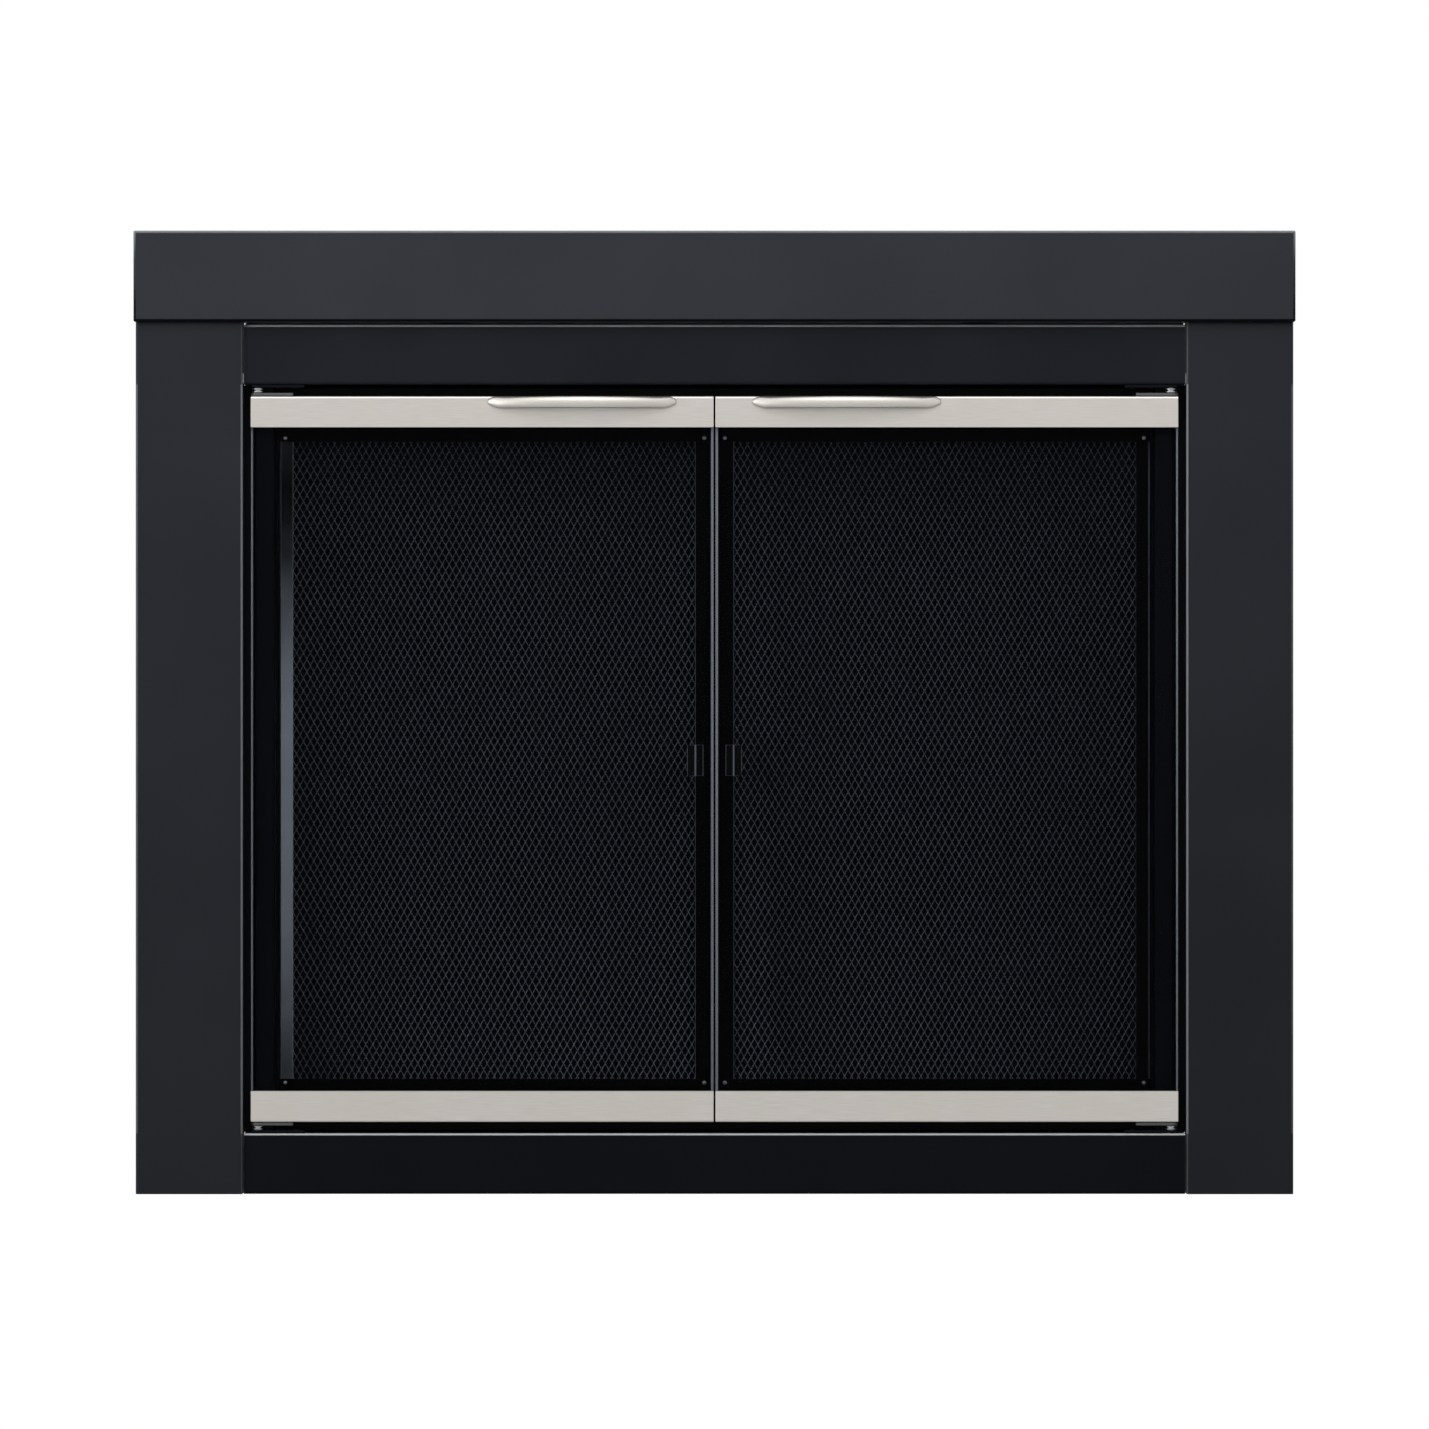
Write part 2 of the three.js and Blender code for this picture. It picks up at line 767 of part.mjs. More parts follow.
// A pin with a collar that keeps the mesh door off the inner rail. It stands up from the door's end.
function meshPin() {
  const collarLow = clearance;
  const collarHigh = meshEndGap - clearance;
  return turned([
    [0, -meshPinTail],
    [meshPinRadius, -meshPinTail],
    [meshPinRadius, collarLow],
    [meshCollarRadius, collarLow],
    [meshCollarRadius, collarHigh],
    [meshPinRadius, collarHigh],
    [meshPinRadius, meshEndGap + meshPinHead],
    [0, meshEndGap + meshPinHead],
  ]);
}

// ---------------------------------------------------------------- assembly

// The pieces of one side, built on the right. The left side is their mirror image.
function sidePieces(side) {
  const half = new THREE.Group();
  const add = (name, shape, material) => {
    const mesh = piece(`${side}_${name}`, shape, material);
    half.add(mesh);
    return mesh;
  };

  add("post", post(), blackCoat);
  add("jamb", jamb(), blackCoat);
  add("upper_corner_bracket", cornerBracket((topPanelBottom + topPanelTop) / 2), plated);
  add("lower_corner_bracket", cornerBracket(bottomPanelHeight / 2), plated);
  add("floor_bracket", floorBracket(), plated);
  add("lintel_clamp", lintelClamp(), plated);
  add("lintel_clamp_bolt", clampBolt(), plated);

  const frameLeafRear = -stopFront - clearance;
  const frameLeafCorner = pinInset / 2;
  const frameLeaf = (from) => hingeLeaf(frameLeafLength, frameLeafRear, from, frameLeafCorner);
  add("upper_frame_hinge_leaf", frameLeaf(topPanelBottom - clearance - leafThickness), blackCoat);
  add("lower_frame_hinge_leaf", frameLeaf(bottomPanelHeight + clearance), blackCoat);

  const doorLeaf = (from) => hingeLeaf(doorLeafLength, -hingeDepth + pinInset, from, pinInset);
  add("glass_pane", glassPane(), glass);
  add("glass_door_top_trim", trimBar(doorTop, topTrimMouth), nickel);
  add("glass_door_bottom_trim", trimBar(doorBottom, bottomTrimMouth), nickel);
  add("glass_door_top_cushion", cushionStrip(doorTop, topTrimMouth), cushionFelt);
  add("glass_door_bottom_cushion", cushionStrip(doorBottom, bottomTrimMouth), cushionFelt);
  add("glass_door_handle", handle(), nickel);
  add("glass_door_top_hinge_leaf", doorLeaf(doorTop + clearance), blackCoat);
  add("glass_door_bottom_hinge_leaf", doorLeaf(doorBottom - clearance - leafThickness), blackCoat);
  const topPin = add("glass_door_top_pin", hingePin(doorTopGap), plated);
  topPin.position.set(hingeX, -hingeDepth, doorTop + doorTopGap / 2);
  const bottomPin = add("glass_door_bottom_pin", hingePin(doorBottomGap), plated);
  bottomPin.position.set(hingeX, -hingeDepth, doorBottom - doorBottomGap / 2);

  add("mesh_door_top_rail", meshRail(meshTop, meshTop - meshRailWidth), blackCoat);
  add("mesh_door_bottom_rail", meshRail(meshBottom, meshBottom + meshRailWidth), blackCoat);
  add("mesh_door_outer_stile", stile(meshOuter, meshOuter - outerStileWidth), blackCoat);
  add("mesh_door_inner_stile", stile(meshInner, meshInner + innerStileWidth), blackCoat);
  add("mesh_door_net", net(), blackNet);
  add("mesh_door_pull", meshPull(), blackCoat);
  const meshTopPin = add("mesh_door_top_pin", meshPin(), plated);
  meshTopPin.position.set(meshPinX, -meshPinDepth, meshTop);
  const meshBottomPin = add("mesh_door_bottom_pin", meshPin(), plated);
  meshBottomPin.position.set(meshPinX, -meshPinDepth, meshBottom);
  meshBottomPin.rotation.x = Math.PI; // it points down

  if (side === "left") half.scale.x = -1;
  return half;
}

const fireplaceDoor = new THREE.Group();
const surround = new THREE.Group();
surround.add(
  piece("header", header(), blackCoat),
  piece("top_panel", topPanel(), blackCoat),
  piece("bottom_panel", bottomPanel(), blackCoat),
  piece("inner_top_rail", innerRail(railTop, jambTop), blackCoat),
  piece("inner_bottom_rail", innerRail(railBottom, jambBottom), blackCoat),
  sidePieces("left"),
  sidePieces("right"),
);
// The origin lies on the hearth, on the centre line, halfway through the depth of the posts.
surround.position.y = postDepth / 2;
fireplaceDoor.add(surround);

export default fireplaceDoor;
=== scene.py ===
"""A fireplace surround with a pair of trim-held glass doors and a pair of mesh doors behind them.

Panes, cushions, jambs, rails, brackets, clamps, hinge leaves and the mesh doors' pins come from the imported
model and get their finishes here. The header, posts, panels, trim bars, bow handles, hinge bushings, nets,
stiles, finger pulls, clamp bolts, screws and rivets are finer pieces made here. Sizes are in metres in the
model's own frame: X to the right, Y to the back, Z up from the hearth.
"""
import math

import bpy
import numpy as np
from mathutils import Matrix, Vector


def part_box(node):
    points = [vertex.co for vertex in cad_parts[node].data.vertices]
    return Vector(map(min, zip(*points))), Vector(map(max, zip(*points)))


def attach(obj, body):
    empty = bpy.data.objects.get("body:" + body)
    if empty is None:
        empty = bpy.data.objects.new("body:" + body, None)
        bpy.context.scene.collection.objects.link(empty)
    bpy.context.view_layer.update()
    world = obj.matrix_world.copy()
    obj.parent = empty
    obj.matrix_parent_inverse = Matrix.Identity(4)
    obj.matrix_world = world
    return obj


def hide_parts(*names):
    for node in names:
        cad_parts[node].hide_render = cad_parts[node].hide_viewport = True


MM = 0.001
# How strong the painted highlight on cut edges is.
CUT_HIGHLIGHT = 0.7
SIDES = {"left": -1, "right": 1}

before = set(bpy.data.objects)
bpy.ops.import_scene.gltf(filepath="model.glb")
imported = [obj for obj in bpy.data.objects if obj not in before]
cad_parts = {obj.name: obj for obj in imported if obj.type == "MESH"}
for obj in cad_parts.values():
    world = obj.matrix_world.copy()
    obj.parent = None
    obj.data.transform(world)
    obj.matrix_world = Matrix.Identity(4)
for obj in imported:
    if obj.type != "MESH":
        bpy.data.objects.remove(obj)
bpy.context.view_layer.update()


# ------------------------------------------------------------------ meshes

def make_piece(name, grids, body, finish, side=1, replaced=(), sharp=40, highlight_and_shade=None):
    """A piece made of closed skins, one over each grid[row, column] of points of the right-hand side. For the
    left-hand side the points are mirrored in X and each face runs the other way round. The last argument
    holds
    a number for each point: 0 for the plain coat, up to 1 for a painted highlight, below 0 for painted shade."""
    faces, first = [], 0
    for grid in grids:
        faces += [block[:, ::side] for block in skin(grid, first)]
        first += grid.shape[0] * grid.shape[1]
    points = np.concatenate([grid.reshape(-1, 3) for grid in grids]) * (side, 1, 1)
    mesh = bpy.data.meshes.new(name)
    mesh.from_pydata(points.tolist(), [], [face for block in faces for face in block.tolist()])
    lit_and_shaded = np.zeros(first) if highlight_and_shade is None else np.concatenate([share.reshape(-1) for share in highlight_and_shade])
    # The painted highlight and shade of each point, which the finishes turn into colour.
    mesh.attributes.new("highlight_and_shade", "FLOAT", "POINT").data.foreach_set("value", lit_and_shaded)
    mesh.shade_smooth()
    mesh.set_sharp_from_angle(angle=math.radians(sharp))
    made = bpy.data.objects.new(name, mesh)
    bpy.context.scene.collection.objects.link(made)
    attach(made, body)
    if replaced:
        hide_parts(*replaced)
    made.data.materials.append(finish.material)
    return made


def skin(grid, first=0):
    """Faces of a tube whose points are grid[row, column]: each square joins two rows and two columns, the
    last column joins the first one, and the first and last rows are closed by one flat face each."""
    rows, columns = grid.shape[:2]
    row, column = np.meshgrid(np.arange(rows - 1), np.arange(columns), indexing="ij")
    beside = (column + 1) % columns
    here, above = row * columns, (row + 1) * columns
    squares = np.stack([here + column, here + beside, above + beside, above + column], axis=-1).reshape(-1, 4)
    ends = np.stack([np.arange(columns)[::-1], (rows - 1) * columns + np.arange(columns)])
    return [squares + first, ends + first]


def turned(profile, centre, axis, segments=32):
    """A turned solid: the profile's (radius, height) pairs are carried round an axis that points along X, Y
    or Z from the centre. The point at angle a and height h lies at centre + h * axis, plus
    radius * (cos a, sin a) in the plane square to the axis."""
    radius, height = np.array(profile, float).T
    angle = np.linspace(0, 2 * math.pi, segments, endpoint=False)
    along = np.array(axis, float)
    across = np.roll(np.abs(along), 1)
    third = np.cross(along, across)
    return (
        np.array(centre, float)
        + height[:, None, None] * along
        + radius[:, None, None] * (np.cos(angle)[:, None] * across + np.sin(angle)[:, None] * third)
    )


def folded_section(path, edge_light, sheet, bend, steps=7):
    """The closed outline of a folded sheet, and the painted highlight and shade of each of its points. The
    path runs along one face of the sheet, which lies on its left. At a corner that face follows an arc of
    radius bend, plus the sheet where the corner turns left, and the other face an arc about the same centre.
    The second argument has an entry for each point of the path. At an end of the path the cut edge gets that
    much painted highlight. At a corner the outer side of the fold gets the number times the sine of the way
    through the fold, or the entry's own steps, as painted highlight, or as painted shade where below 0. It
    has faded out at rim from a cut edge and at beside from a fold."""
    path = np.array(path, float)
    ways = np.diff(path, axis=0)
    ways /= np.linalg.norm(ways, axis=1)[:, None]
    lefts = np.stack([-ways[:, 1], ways[:, 0]], axis=1)
    rim, beside = 0.5 * MM, 0.3 * MM
    face, normals = [path[:1], path[:1] + ways[:1] * rim], [lefts[:1], lefts[:1]]
    light_face, light_back = [[edge_light[0]], [0]], [[edge_light[0]], [0]]
    for i in range(1, len(path) - 1):
        before, after, left = ways[i - 1], ways[i], lefts[i - 1]
        turn = math.atan2(before[0] * after[1] - before[1] * after[0], float(before @ after))
        hand = math.copysign(1, turn)
        radius = bend + (sheet if hand > 0 else 0)
        centre = path[i] - before * radius * math.tan(abs(turn) / 2) + left * hand * radius
        swing = np.linspace(0, turn, steps)
        cosine, sine = np.cos(swing), np.sin(swing)
        spokes = np.stack([left[0] * cosine - left[1] * sine, left[0] * sine + left[1] * cosine], axis=1)
        arc = centre - spokes * hand * radius
        face += [arc[:1] - before * beside, arc, arc[-1:] + after * beside]
        normals += [spokes[:1], spokes, spokes[-1:]]
        fold_light = np.array(edge_light[i]) * (np.sin(np.linspace(0, math.pi, steps)) if np.ndim(edge_light[i]) == 0 else 1)
        light_face += [[0], fold_light * (hand > 0), [0]]
        light_back += [[0], fold_light * (hand < 0), [0]]
    face += [path[-1:] - ways[-1:] * rim, path[-1:]]
    normals += [lefts[-1:], lefts[-1:]]
    light_face += [[0], [edge_light[-1]]]
    light_back += [[0], [edge_light[-1]]]
    face, normals = np.concatenate(face), np.concatenate(normals)
    outline = np.concatenate([face, (face + normals * sheet)[::-1]])
    return outline, np.concatenate([np.concatenate(light_face), np.concatenate(light_back)[::-1]])


def drawn_in(outline, inset):
    """The outline with every point moved inwards by inset, square to the line between its two neighbours."""
    tangent = np.roll(outline, -1, axis=0) - np.roll(outline, 1, axis=0)
    tangent /= np.linalg.norm(tangent, axis=1)[:, None] + 1e-12
    inwards = np.stack([-tangent[:, 1], tangent[:, 0]], axis=1) * math.copysign(1, enclosed(outline))
    return outline + inwards * inset


def enclosed(outline):
    """Twice the area inside an outline, above 0 where it turns to the left: the sum of x * next y - y * next
    x over its points."""
    x, y = outline.T
    return np.sum(x * np.roll(y, -1) - y * np.roll(x, -1))


def carried(outline, highlight_and_shade, axis, low, high, edge=0.35 * MM, stations=()):
    """A bar, and the painted highlight and shade of its points: the outline is carried along X or Z from low
    to high. It holds (y, z) for X and (x, y) for Z. Within edge of each end it is drawn in along a quarter
    circle, which breaks the cut edge, and the cut edge gets a painted highlight up to the cut-edge share set
    above.
    Stations are further places, meant to lie between the ends."""
    swing = np.linspace(0, math.pi / 2, 4)
    near = low + edge * (1 - np.cos(swing))
    stations = np.concatenate([[near[-1] + edge], stations, [low + high - near[-1] - edge]])
    along = np.concatenate([near, stations, (low + high - near)[::-1]])
    plain = np.zeros(len(stations))
    inset = edge * (1 - np.sin(swing))
    insets = np.concatenate([inset, plain, inset[::-1]])
    cut = np.concatenate([np.cos(swing), plain, np.cos(swing)[::-1]])
    rings = np.stack([drawn_in(outline, value) for value in insets])
    along = np.broadcast_to(along[:, None, None], (*rings.shape[:2], 1))
    grid = np.concatenate([along, rings] if axis == "x" else [rings, along], axis=2)
    lit_and_shaded = np.maximum(highlight_and_shade, CUT_HIGHLIGHT * cut[:, None])
    return (grid, lit_and_shaded) if enclosed(outline) > 0 else (grid[:, ::-1], lit_and_shaded[:, ::-1])


def block_outline(low_a, high_a, low_b, high_b):
    """The outline of a rectangle between two places on each of two axes, turning to the left."""
    return np.array([(low_a, low_b), (high_a, low_b), (high_a, high_b), (low_a, high_b)], float)


# ------------------------------------------------------------------ finishes

class Value:
    """A number, colour or vector that varies over a surface: one output of a node. Arithmetic on numbers
    adds Math nodes, so that a pattern reads as a formula."""

    def __init__(self, recipe, socket):
        self.recipe, self.socket = recipe, socket

    def worked(self, operation, first, second=None):
        """One Math operation on one or two numbers."""
        given = [x for x in (first, second) if x is not None]
        return self.recipe.node("Math", {"operation": operation}, dict(enumerate(given)))

    def __add__(self, other):
        return self.worked("ADD", self, other)

    def __radd__(self, other):
        return self.worked("ADD", other, self)

    def __sub__(self, other):
        return self.worked("SUBTRACT", self, other)

    def __rsub__(self, other):
        return self.worked("SUBTRACT", other, self)

    def __mul__(self, other):
        return self.worked("MULTIPLY", self, other)

    def __rmul__(self, other):
        return self.worked("MULTIPLY", other, self)

    def __abs__(self):
        return self.worked("ABSOLUTE", self)

    def ramped(self, low, high):
        """0 up to low and 1 from high on, with a smooth step between them. High may be the lower one."""
        settings = {"interpolation_type": "SMOOTHSTEP"}
        return self.recipe.node("MapRange", settings, {"Value": self, "From Min": low, "From Max": high})


class Recipe:
    """A node tree that ends in a surface, and the one method that adds a node to it."""

    def __init__(self, owner, output):
        owner.use_nodes = True
        self.tree = owner.node_tree
        self.tree.nodes.clear()
        self.output = self.tree.nodes.new("ShaderNodeOutput" + output)

    def node(self, kind, settings=None, sockets=None, output=0):
        """Adds a node with its settings, and gives its sockets their values or links. Returns one output."""
        made = self.tree.nodes.new("ShaderNode" + kind)
        for name, value in (settings or {}).items():
            setattr(made, name, value)
        for name, value in (sockets or {}).items():
            if isinstance(value, Value):
                self.tree.links.new(value.socket, made.inputs[name])
            else:
                made.inputs[name].default_value = value
        return Value(self, made.outputs[output])

    def mixed(self, share, first, second):
        """The first colour where share is 0 and the second where it is 1."""
        return self.node("Mix", {"data_type": "RGBA"}, {0: share, 6: first, 7: second}, output=2)

    def stretched(self, place, x, y, z):
        """The place with each coordinate times its factor: a pattern grows longer along a small factor."""
        return self.node("VectorMath", {"operation": "MULTIPLY"}, {0: place, 1: (x, y, z)})

    def noise(self, place, size, detail):
        """Noise whose blobs are about size metres wide."""
        return self.node("TexNoise", {}, {"Vector": place, "Scale": 1 / size, "Detail": detail})

    def bump(self, height, depth, strength):
        """The normal of a surface that rises by depth metres where height goes from 0 to 1."""
        return self.node("Bump", {}, {"Height": height, "Distance": depth, "Strength": strength})

    def ends_in(self, shader):
        """Links the shader to the tree's output."""
        self.tree.links.new(shader.socket, self.output.inputs["Surface"])


class Finish(Recipe):
    """A material on the object, and the record's slot that it belongs to."""

    def __init__(self, name, slot=None):
        self.material, self.slot = bpy.data.materials.new(name), slot
        super().__init__(self.material, "Material")

    def place(self):
        """Where a point lies, in the frame of its own piece."""
        return self.node("TexCoord", output=3)

    def highlight_and_shade(self):
        """The number that make_piece gave to each point: its painted highlight and shade."""
        return self.node("Attribute", {"attribute_name": "highlight_and_shade"}, output=2)

    def parts(self, place):
        """The three coordinates of a place."""
        made = self.node("SeparateXYZ", {}, {"Vector": place}).socket.node
        return [Value(self, output) for output in made.outputs]


def colour(red, green, blue):
    """The linear colour of an 8-bit screen colour."""
    shares = (value / 255 for value in (red, green, blue))
    return tuple(((c + 0.055) / 1.055) ** 2.4 if c > 0.04 else c / 12.92 for c in shares) + (1,)


# The near-black of painted shade in folds and joints.
SHADE_TONE = (3, 3, 4)


def black_coat(name, dark, light, edge, shine, gloss, metal=0.0):
    """Satin powder coat: a faint orange peel under a slow change of tone from dark to light, and fine grains
    that are a little lighter and glossier. Where a point's number is above 0 the colour turns unevenly
    towards the edge tone, a painted highlight, and below 0 it darkens to a painted shade. Metal is 0 for a
    plain coat and near 1 for a coat that mirrors like steel, as on the stile with a painted reflection."""
    f = Finish(name, "black_coat")
    place = f.place()
    cloud = f.noise(place, 160 * MM, 3)
    peel = f.noise(place, 2.2 * MM, 2)
    grain = f.noise(place, 0.5 * MM, 1)
    patches = f.noise(place, 30 * MM, 3)
    grain_share, grain_lift = 0.12, 1.5
    tone = f.mixed(cloud.ramped(0.3, 0.7), colour(*dark), colour(*light))
    tone = f.mixed(grain.ramped(0.58, 0.75) * grain_share, tone, colour(*(v * grain_lift for v in light)))
    # A painted highlight towards the edge tone above 0, painted shade below 0, uneven in patches.
    lit_and_shaded = f.highlight_and_shade() * (0.8 + 0.4 * patches)
    tone = f.mixed(lit_and_shaded.ramped(0.1, 1), tone, colour(*edge))
    tone = f.mixed(lit_and_shaded.ramped(0, -0.7), tone, colour(*SHADE_TONE))
    settings = {
        "Base Color": tone,
        "Metallic": metal,
        "Roughness": gloss + 0.12 * (cloud - 0.5) - 0.08 * grain.ramped(0.5, 0.7),
        "Specular IOR Level": shine,
        "Normal": f.bump(peel + 0.3 * grain, 0.06 * MM, 0.5),
    }
    f.ends_in(f.node("BsdfPrincipled", {}, settings))
    return f


def satin_nickel(name, gloss):
    """Brushed satin nickel: streaks along X that change the gloss and the tone, under a slow cloud. Cut edges
    and folds get a painted highlight."""
    f = Finish(name, "nickel")
    place = f.place()
    streak = f.noise(f.stretched(place, 0.02, 1, 1), 0.4 * MM, 2)
    coarse = f.noise(f.stretched(place, 0.03, 1, 1), 1.6 * MM, 2)
    cloud = f.noise(place, 50 * MM, 2)
    tone = f.mixed(streak.ramped(0.3, 0.7), colour(192, 187, 182), colour(204, 199, 194))
    tone = f.mixed(cloud.ramped(0.35, 0.65) * 0.35, tone, colour(194, 191, 180))
    # A painted highlight on cut edges and folds.
    tone = f.mixed(f.highlight_and_shade() * 0.8, tone, colour(238, 236, 233))
    settings = {
        "Base Color": tone,
        "Metallic": 1.0,
        "Roughness": gloss + 0.12 * streak + 0.04 * cloud,
        "Normal": f.bump(streak + 0.6 * coarse, 0.012 * MM, 0.6),
    }
    f.ends_in(f.node("BsdfPrincipled", {}, settings))
    return f


HAZE = 1.2 * MM


def smoked_glass():
    """Smoked safety glass. Light crosses it and is dimmed, and it mirrors more towards grazing angles. Along
    both upright edges of each pane the ground arris shows as a pale blue-grey band."""
    f = Finish("smoked_glass", "glass")
    place = f.place()
    across = abs(f.parts(place)[0])
    haze = f.noise(place, HAZE, 2)
    low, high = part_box("right_glass_pane")
    inner_band, outer_band, fade = 1.9 * MM, 1.4 * MM, 0.4 * MM
    inner = across.ramped(low.x + inner_band, low.x + inner_band - fade)
    outer = across.ramped(high.x - outer_band, high.x - outer_band + fade)
    head_on, mirror_share, band_share = 0.0393, 0.8, 0.82
    clear = f.node("BsdfTransparent", {}, {"Color": (0.84, 0.85, 0.87, 1)})
    mirror = f.node("BsdfGlossy", {}, {"Color": (0.9, 0.93, 1, 1), "Roughness": 0.03})
    shine = f.node("Fresnel", {}, {"IOR": 1.5})
    field = f.node("MixShader", {}, {0: (shine - head_on) * mirror_share, 1: clear, 2: mirror})
    settings = {
        "Base Color": f.mixed(haze.ramped(0.3, 0.7), colour(142, 149, 158), colour(160, 167, 176)),
        "Roughness": 0.4,
        "Specular IOR Level": 0.3,
    }
    ground = f.node("BsdfPrincipled", {}, settings)
    f.ends_in(f.node("MixShader", {}, {0: (inner + outer) * band_share, 1: field, 2: ground}))
    return f


def polished_edge():
    """The polished upright edge of a pane: glass a little hazy, whose pale blue-grey is a painted highlight.
    """
    f = Finish("polished_glass_edge_painted_highlight", "glass")
    haze = f.noise(f.place(), HAZE, 2)
    settings = {
        "Base Color": f.mixed(haze.ramped(0.3, 0.7), colour(156, 164, 173), colour(176, 184, 193)),
        "Roughness": 0.25 + 0.1 * haze,
        "Specular IOR Level": 0.5,
    }
    f.ends_in(f.node("BsdfPrincipled", {}, settings))
    return f


def black_net():
    """Black-painted expanded metal: a shiny coat whose tone and gloss vary along the strands. Its mid-grey
    tone is a painted highlight on the black coat.
    """
    f = Finish("black_net_grey_highlight", "black_net")
    place = f.place()
    coat = f.noise(place, 1.1 * MM, 2)
    # Mid-grey for a black coat: a painted highlight on the strands.
    tone = f.mixed(coat.ramped(0.35, 0.75), colour(92, 96, 102), colour(150, 156, 164))
    settings = {
        "Base Color": tone,
        "Metallic": 0.2,
        "Roughness": 0.2 + 0.14 * coat,
        "Specular IOR Level": 1.0,
        "Coat Weight": 0.6,
        "Coat Roughness": 0.16,
        "Normal": f.bump(coat, 0.08 * MM, 0.6),
    }
    f.ends_in(f.node("BsdfPrincipled", {}, settings))
    return f


def zinc():
    """Bright zinc plating: small crystals of differing tone, with a slow clouding of its gloss."""
    f = Finish("zinc_plate", "plated_steel")
    place = f.place()
    crystals_per_metre = 420.0
    crystal = f.node("TexVoronoi", {}, {"Vector": place, "Scale": crystals_per_metre}, output=1)
    value = f.node("RGBToBW", {}, {0: crystal})
    cloud = f.noise(place, 12 * MM, 3)
    tone = f.mixed(value * 0.35 + 0.4 * cloud, colour(158, 162, 166), colour(205, 207, 208))
    settings = {
        "Base Color": tone,
        "Metallic": 0.92,
        "Roughness": 0.26 + 0.12 * cloud + 0.08 * value,
        "Normal": f.bump(cloud, 0.05 * MM, 0.4),
    }
    f.ends_in(f.node("BsdfPrincipled", {}, settings))
    return f


def felt():
    """Dark cushion felt: crossed fibres, dull all over."""
    f = Finish("cushion_felt", "cushion_felt")
    place = f.place()
    along = f.noise(f.stretched(place, 0.2, 1, 1), 0.6 * MM, 3)
    across = f.noise(f.stretched(place, 1, 1, 0.2), 0.6 * MM, 3)
    fibre = along * 0.5 + across * 0.5
    settings = {
        "Base Color": f.mixed(fibre.ramped(0.35, 0.65), colour(38, 37, 35), colour(70, 68, 64)),
        "Roughness": 0.95,
        "Specular IOR Level": 0.1,
        "Normal": f.bump(fibre, 0.3 * MM, 0.8),
    }
    f.ends_in(f.node("BsdfPrincipled", {}, settings))
    return f


# Edge tones that paint highlights along folds and cut edges.
HIGHLIGHT_GREY, HIGHLIGHT_PALE = (165, 169, 173), (240, 243, 246)
SURROUND_COAT = black_coat("surround_coat", (54, 57, 63), (59, 62, 68), HIGHLIGHT_GREY, 0.05, 0.42)
# A lighter copy of the surround's coat: painted light on the top of the surround.
HEADER_LIT_COAT = black_coat("header_coat_painted_light", (65, 68, 74), (70, 73, 79), HIGHLIGHT_GREY, 0.05, 0.42)
# A darker copy: painted shade on the top panel, set back under the header.
PANEL_SHADED_COAT = black_coat("panel_coat_painted_shade", (41, 44, 50), (46, 49, 55), HIGHLIGHT_PALE, 0.03, 0.36)
# Darker still: painted shade on the bottom panel, low on the surround.
SILL_SHADED_COAT = black_coat("sill_coat_painted_shade", (26, 29, 34), (30, 33, 38), HIGHLIGHT_PALE, 0.03, 0.36)
# Darker copies of the coat for the jambs and for the mesh doors: painted shade in the recess behind the
# glass. The mesh doors' pale edge tone paints highlights along their stiles' folds.
STOP_SHADED_COAT = black_coat("stop_coat_painted_shade", (12, 15, 21), (17, 20, 27), (90, 96, 102), 0.06, 0.36)
MESH_SHADE_AND_HIGHLIGHT_COAT = black_coat("mesh_door_coat_painted_shade_and_highlight", (3, 4, 5), (5, 6, 8), (170, 174, 176), 0.03, 0.36)
# A pale, metal-like coat on the left mesh door's outer stile: a painted reflection.
STILE_REFLECTION_COAT = black_coat("stile_coat_painted_reflection", (131, 136, 140), (143, 148, 152), (155, 159, 162), 0.2, 0.3, 0.8)
# The pulls' near-black is painted shade like the mesh doors', and their pale edge tone paints highlights
# along every edge.
PULL_SHADE_AND_HIGHLIGHT_COAT = black_coat("pull_coat_painted_shade_and_highlight", (6, 7, 9), (9, 10, 13), (236, 239, 241), 0.08, 0.3)
LEAF_COAT = black_coat("leaf_coat", (104, 105, 107), (120, 121, 123), (150, 152, 154), 0.3, 0.4)
NICKEL = satin_nickel("brushed_satin_nickel", 0.24)
HANDLE_NICKEL = satin_nickel("handle_satin_nickel", 0.34)
GLASS, GLASS_EDGE_HIGHLIGHT, NET_GREY_HIGHLIGHT = smoked_glass(), polished_edge(), black_net()
ZINC, FELT = zinc(), felt()
FINISH_OF_NODE_ENDING = {
    "glass_pane": GLASS,
    "trim": NICKEL,
    "handle": NICKEL,
    "cushion": FELT,
    "net": NET_GREY_HIGHLIGHT,
    "bracket": ZINC,
    "lintel_clamp": ZINC,
    "bolt": ZINC,
    "pin": ZINC,
    "panel": PANEL_SHADED_COAT,
    "jamb": STOP_SHADED_COAT,
    "inner_top_rail": MESH_SHADE_AND_HIGHLIGHT_COAT,
    "inner_bottom_rail": MESH_SHADE_AND_HIGHLIGHT_COAT,
    "frame_hinge_leaf": STOP_SHADED_COAT,
    "hinge_leaf": LEAF_COAT,
    "door_top_rail": MESH_SHADE_AND_HIGHLIGHT_COAT,
    "door_bottom_rail": MESH_SHADE_AND_HIGHLIGHT_COAT,
    "inner_stile": MESH_SHADE_AND_HIGHLIGHT_COAT,
    "outer_stile": STILE_REFLECTION_COAT,
    "pull": PULL_SHADE_AND_HIGHLIGHT_COAT,
}


def finish_of(node_name):
    """The first finish whose ending fits the node's name, or the surround's coat."""
    fitting = [finish for ending, finish in FINISH_OF_NODE_ENDING.items() if node_name.endswith(ending)]
    return fitting[0] if fitting else SURROUND_COAT


